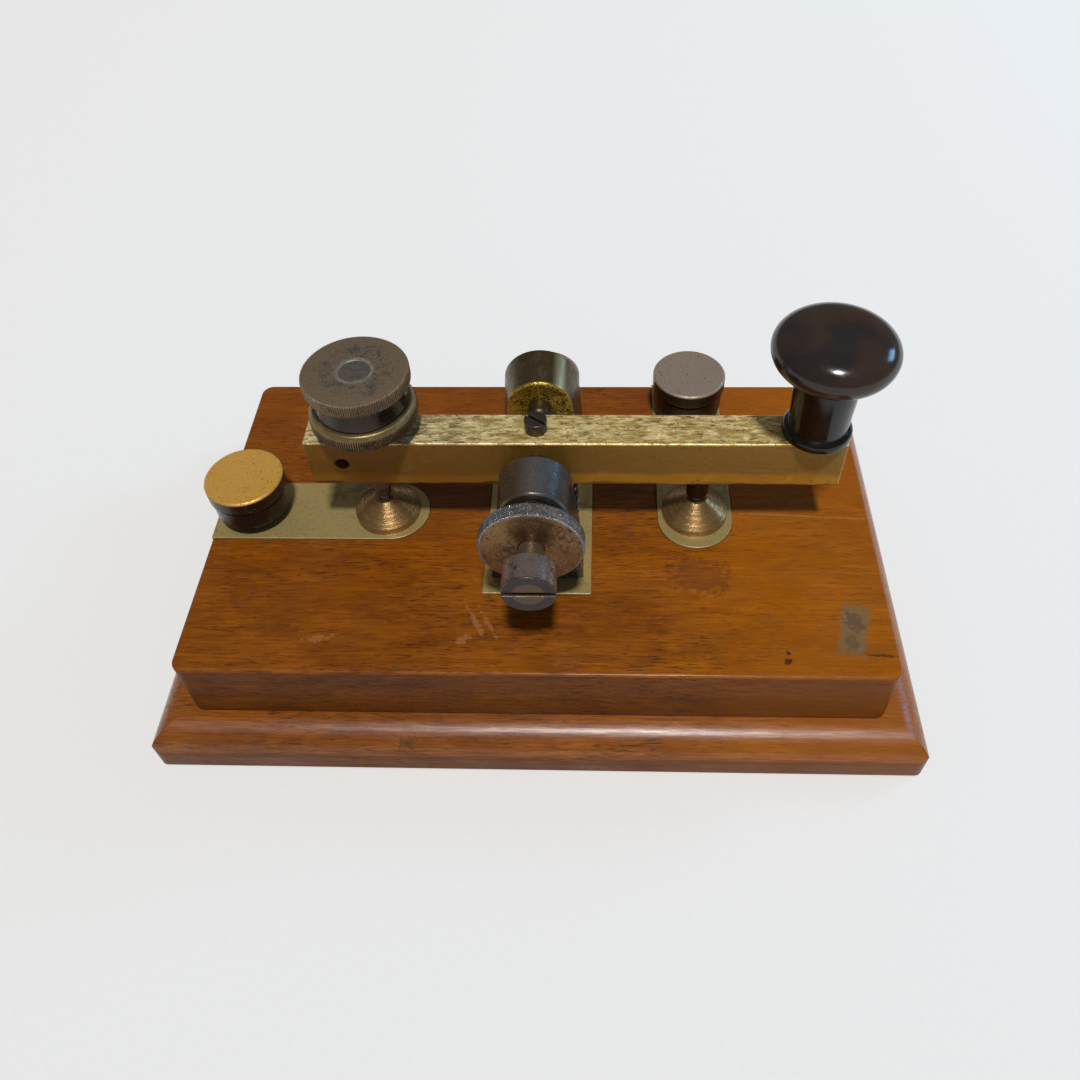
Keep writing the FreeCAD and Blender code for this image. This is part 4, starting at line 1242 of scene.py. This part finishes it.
@dataclass
class Adjuster:
    """The contact adjuster at the lever's back end: screw, knurled knob and knurled lock nut."""

    teeth: int = 140
    tooth_depth: float = 0.55 * MM
    soft: float = 0.35 * MM
    bore: float = 3.05 * MM
    waist: float = 5.2 * MM
    waist_low_radius: float = 9.6 * MM
    waist_high_radius: float = 8.8 * MM
    edge_soft: float = 0.2 * MM
    foot_soft: float = 0.3 * MM
    lip_width: float = 0.15 * MM
    lip_soft: float = 0.05 * MM
    hub_radius: float = 6.0 * MM
    bevel_radius: float = 10.2 * MM
    hub_height: float = 4.18 * MM
    bevel_height: float = 1.1 * MM

    def turned(self, name: str, node: str, body: str, corners: list[Corner], finish: Finish) -> None:
        """Builds a knurled piece on the adjuster's axis.

        Args:
            name: the new piece's name.
            node: the CAD node that it replaces.
            body: the CAD body that it rides on.
            corners: its profile, from the bore at the bottom round the outside to the bore at the top.
            finish: its metal.
        """
        rim = max(corner.radius for corner in corners)
        middle = Vector(middle_of(node, 0.0))
        profile = rounded_profile(corners, closed=True)
        knurl = Knurl(self.teeth, self.tooth_depth, rim, FADE * self.soft)
        piece = turned_piece(name, profile, middle, Axis.UPRIGHT, self.teeth * COLUMNS_PER_TOOTH, knurl)
        settle(piece, finish, body, node)

    def dress(self) -> None:
        """Builds and dresses the knob, the nut and the screw."""
        low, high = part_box("adjusting_knob")
        nut_low, nut_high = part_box("adjusting_lock_nut")
        middle = middle_of("adjusting_knob", 0.0)
        rim = (high.x - low.x) / 2
        disc = low.z + self.waist
        flange = nut_low.z + self.hub_height
        bevel = nut_high.z - self.bevel_height
        # Painted shade: the waist under the knurled disc is darkened, with a little added gloss.
        dark = Band(Measure.Z, low.z - PAST_END, disc, tone(38, 29, 24), 0.9, gloss=0.25)
        bronze = AdjusterBronze("adjuster_bronze", tone(140, 122, 98), tone(74, 66, 58), tone(176, 146, 108),
                                clouds=150.0, tarnished=0.50, speckled=0.6, middle=middle, smooth=0.36,
                                rough=0.56, metallic=0.6, bands=(dark,))
        slate = Band(Measure.Z, nut_low.z, bevel, tone(58, 56, 60), 0.8, gloss=0.1)
        bright = Band(Measure.Z, bevel, nut_high.z + PAST_END, tone(150, 130, 86), 0.7)
        nut_bronze = Metal("nut_bronze", tone(128, 108, 82), tone(66, 56, 48), tone(190, 158, 104),
                           clouds=300.0, tarnished=0.5, speckled=0.5, middle=middle, smooth=0.30,
                           rough=0.50, metallic=0.8, bands=(slate, bright))
        knob = [Corner(self.bore, low.z), Corner(self.waist_low_radius, low.z, self.foot_soft),
                Corner(self.waist_high_radius, disc, self.edge_soft), Corner(rim, disc, self.soft),
                Corner(rim, high.z, self.soft), Corner(self.bore + self.lip_width, high.z, self.lip_soft),
                Corner(self.bore, high.z - self.edge_soft)]
        self.turned("adjuster_knob_knurled", "adjusting_knob", "adjuster_knob", knob, bronze)
        nut_rim = (nut_high.x - nut_low.x) / 2
        nut = [Corner(self.bore, nut_low.z), Corner(self.hub_radius, nut_low.z, self.foot_soft),
               Corner(self.hub_radius, flange), Corner(nut_rim, flange, self.soft),
               Corner(nut_rim, bevel, self.soft), Corner(self.bevel_radius, nut_high.z, self.edge_soft),
               Corner(self.bore, nut_high.z)]
        self.turned("adjuster_nut_knurled", "adjusting_lock_nut", "adjuster_nut", nut, nut_bronze)
        screw = Metal("adjuster_screw_metal", tone(120, 112, 100), tone(78, 72, 64), tone(150, 142, 126),
                      middle=middle, smooth=0.36, metallic=0.6)
        screw.dress("adjusting_screw")


@dataclass
class Studio:
    """The pale floor, the lamps, the even surroundings and the camera at the photograph's place."""

    clip: Zone = (0.01, 20.0)
    camera_place: Triple = (13.20 * MM, -142.45 * MM, 196.58 * MM)
    pitch: float = 49.34
    yaw: float = 3.16
    roll: float = -2.11
    picture: float = 1080.0
    focal: float = 956.872
    middle_right: float = 563.555
    middle_down: float = 503.994
    sensor: float = 36.0
    floor_tone: Color = tone(237, 236, 234)
    floor_half: float = 3.0
    around: float = 0.15
    key_strength: float = 2.62
    key_spread: float = 6.0
    key_lean: tuple[float, float] = (18.5, 3.0)
    window_place: Triple = (0.80, 0.32, 0.42)
    window_size: tuple[float, float] = (0.26, 0.20)
    window_power: float = 1.5
    window_tint: Color = (0.30, 0.62, 1.0)

    def floor(self) -> None:
        """Builds the floor: a flat grid of one face, well beyond the picture's edges."""
        corners = self.floor_half * np.array([(-1, -1, 0), (1, -1, 0), (1, 1, 0), (-1, 1, 0)])
        floor = mesh_piece("floor", corners, [(0, 1, 2, 3)])
        material = bpy.data.materials.new("floor_paper")
        material.use_nodes = True
        nodes = Nodes(material.node_tree)
        shader = material.node_tree.nodes["Principled BSDF"]
        fleck = nodes.spread(nodes.noise(nodes.source(), 900.0, 3.0), 0.3, 0.7)
        pale = tuple(0.985 * value for value in self.floor_tone)
        nodes.put(shader.inputs["Base Color"], nodes.mix(fleck, pale, self.floor_tone))
        shader.inputs["Roughness"].default_value = 0.9
        shader.inputs["Specular IOR Level"].default_value = 0.0
        floor.data.materials.append(material)

    def surroundings(self) -> None:
        """Sets even, plain surroundings."""
        world = bpy.data.worlds.new("studio")
        world.use_nodes = True
        back = world.node_tree.nodes["Background"]
        back.inputs["Color"].default_value = (1.0, 1.0, 1.0, 1.0)
        back.inputs["Strength"].default_value = self.around
        bpy.context.scene.world = world

    def lamps(self) -> None:
        """Hangs a soft key lamp overhead, a little to the front, and a faint cool window at the right."""
        key = bpy.data.lights.new("key", "SUN")
        key.energy = self.key_strength
        key.angle = math.radians(self.key_spread)
        lamp = bpy.data.objects.new("key", key)
        lamp.rotation_euler = (math.radians(self.key_lean[0]), math.radians(self.key_lean[1]), 0.0)
        bpy.context.scene.collection.objects.link(lamp)
        window = bpy.data.lights.new("window", "AREA")
        window.shape = "RECTANGLE"
        window.size, window.size_y = self.window_size
        window.energy = self.window_power
        window.color = self.window_tint
        pane = bpy.data.objects.new("window", window)
        pane.location = self.window_place
        pane.rotation_euler = Vector(self.window_place).to_track_quat("Z", "Y").to_euler()
        bpy.context.scene.collection.objects.link(pane)

    def camera(self) -> None:
        """Places the camera: it looks along +Y, is tilted down, then turned about Z and rolled."""
        data = bpy.data.cameras.new("camera")
        data.sensor_fit = "HORIZONTAL"
        data.sensor_width = self.sensor
        data.lens = self.focal / self.picture * self.sensor
        data.shift_x = (self.picture / 2 - self.middle_right) / self.picture
        data.shift_y = (self.middle_down - self.picture / 2) / self.picture
        data.clip_start, data.clip_end = self.clip
        camera = bpy.data.objects.new("camera", data)
        down = Matrix.Rotation(math.radians(90.0 - self.pitch), 4, "X")
        aside = Matrix.Rotation(math.radians(self.yaw), 4, "Z")
        lean = Matrix.Rotation(math.radians(self.roll), 4, "Z")
        camera.matrix_world = Matrix.Translation(self.camera_place) @ aside @ down @ lean
        bpy.context.scene.collection.objects.link(camera)
        bpy.context.scene.camera = camera

    def build(self) -> None:
        """Builds the whole studio."""
        self.floor()
        self.surroundings()
        self.lamps()
        self.camera()
        bpy.context.scene.view_settings.view_transform = "Standard"


def main() -> None:
    """Builds and dresses the key's sub-assemblies in order, then the studio."""
    logging.basicConfig(level=logging.INFO, format="%(message)s")
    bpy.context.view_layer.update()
    Base().dress()
    Terminals().dress()
    Contacts().dress()
    Bridge().dress()
    Lever().dress()
    Spring().dress()
    Adjuster().dress()
    Studio().build()


if __name__ == "__main__":
    main()
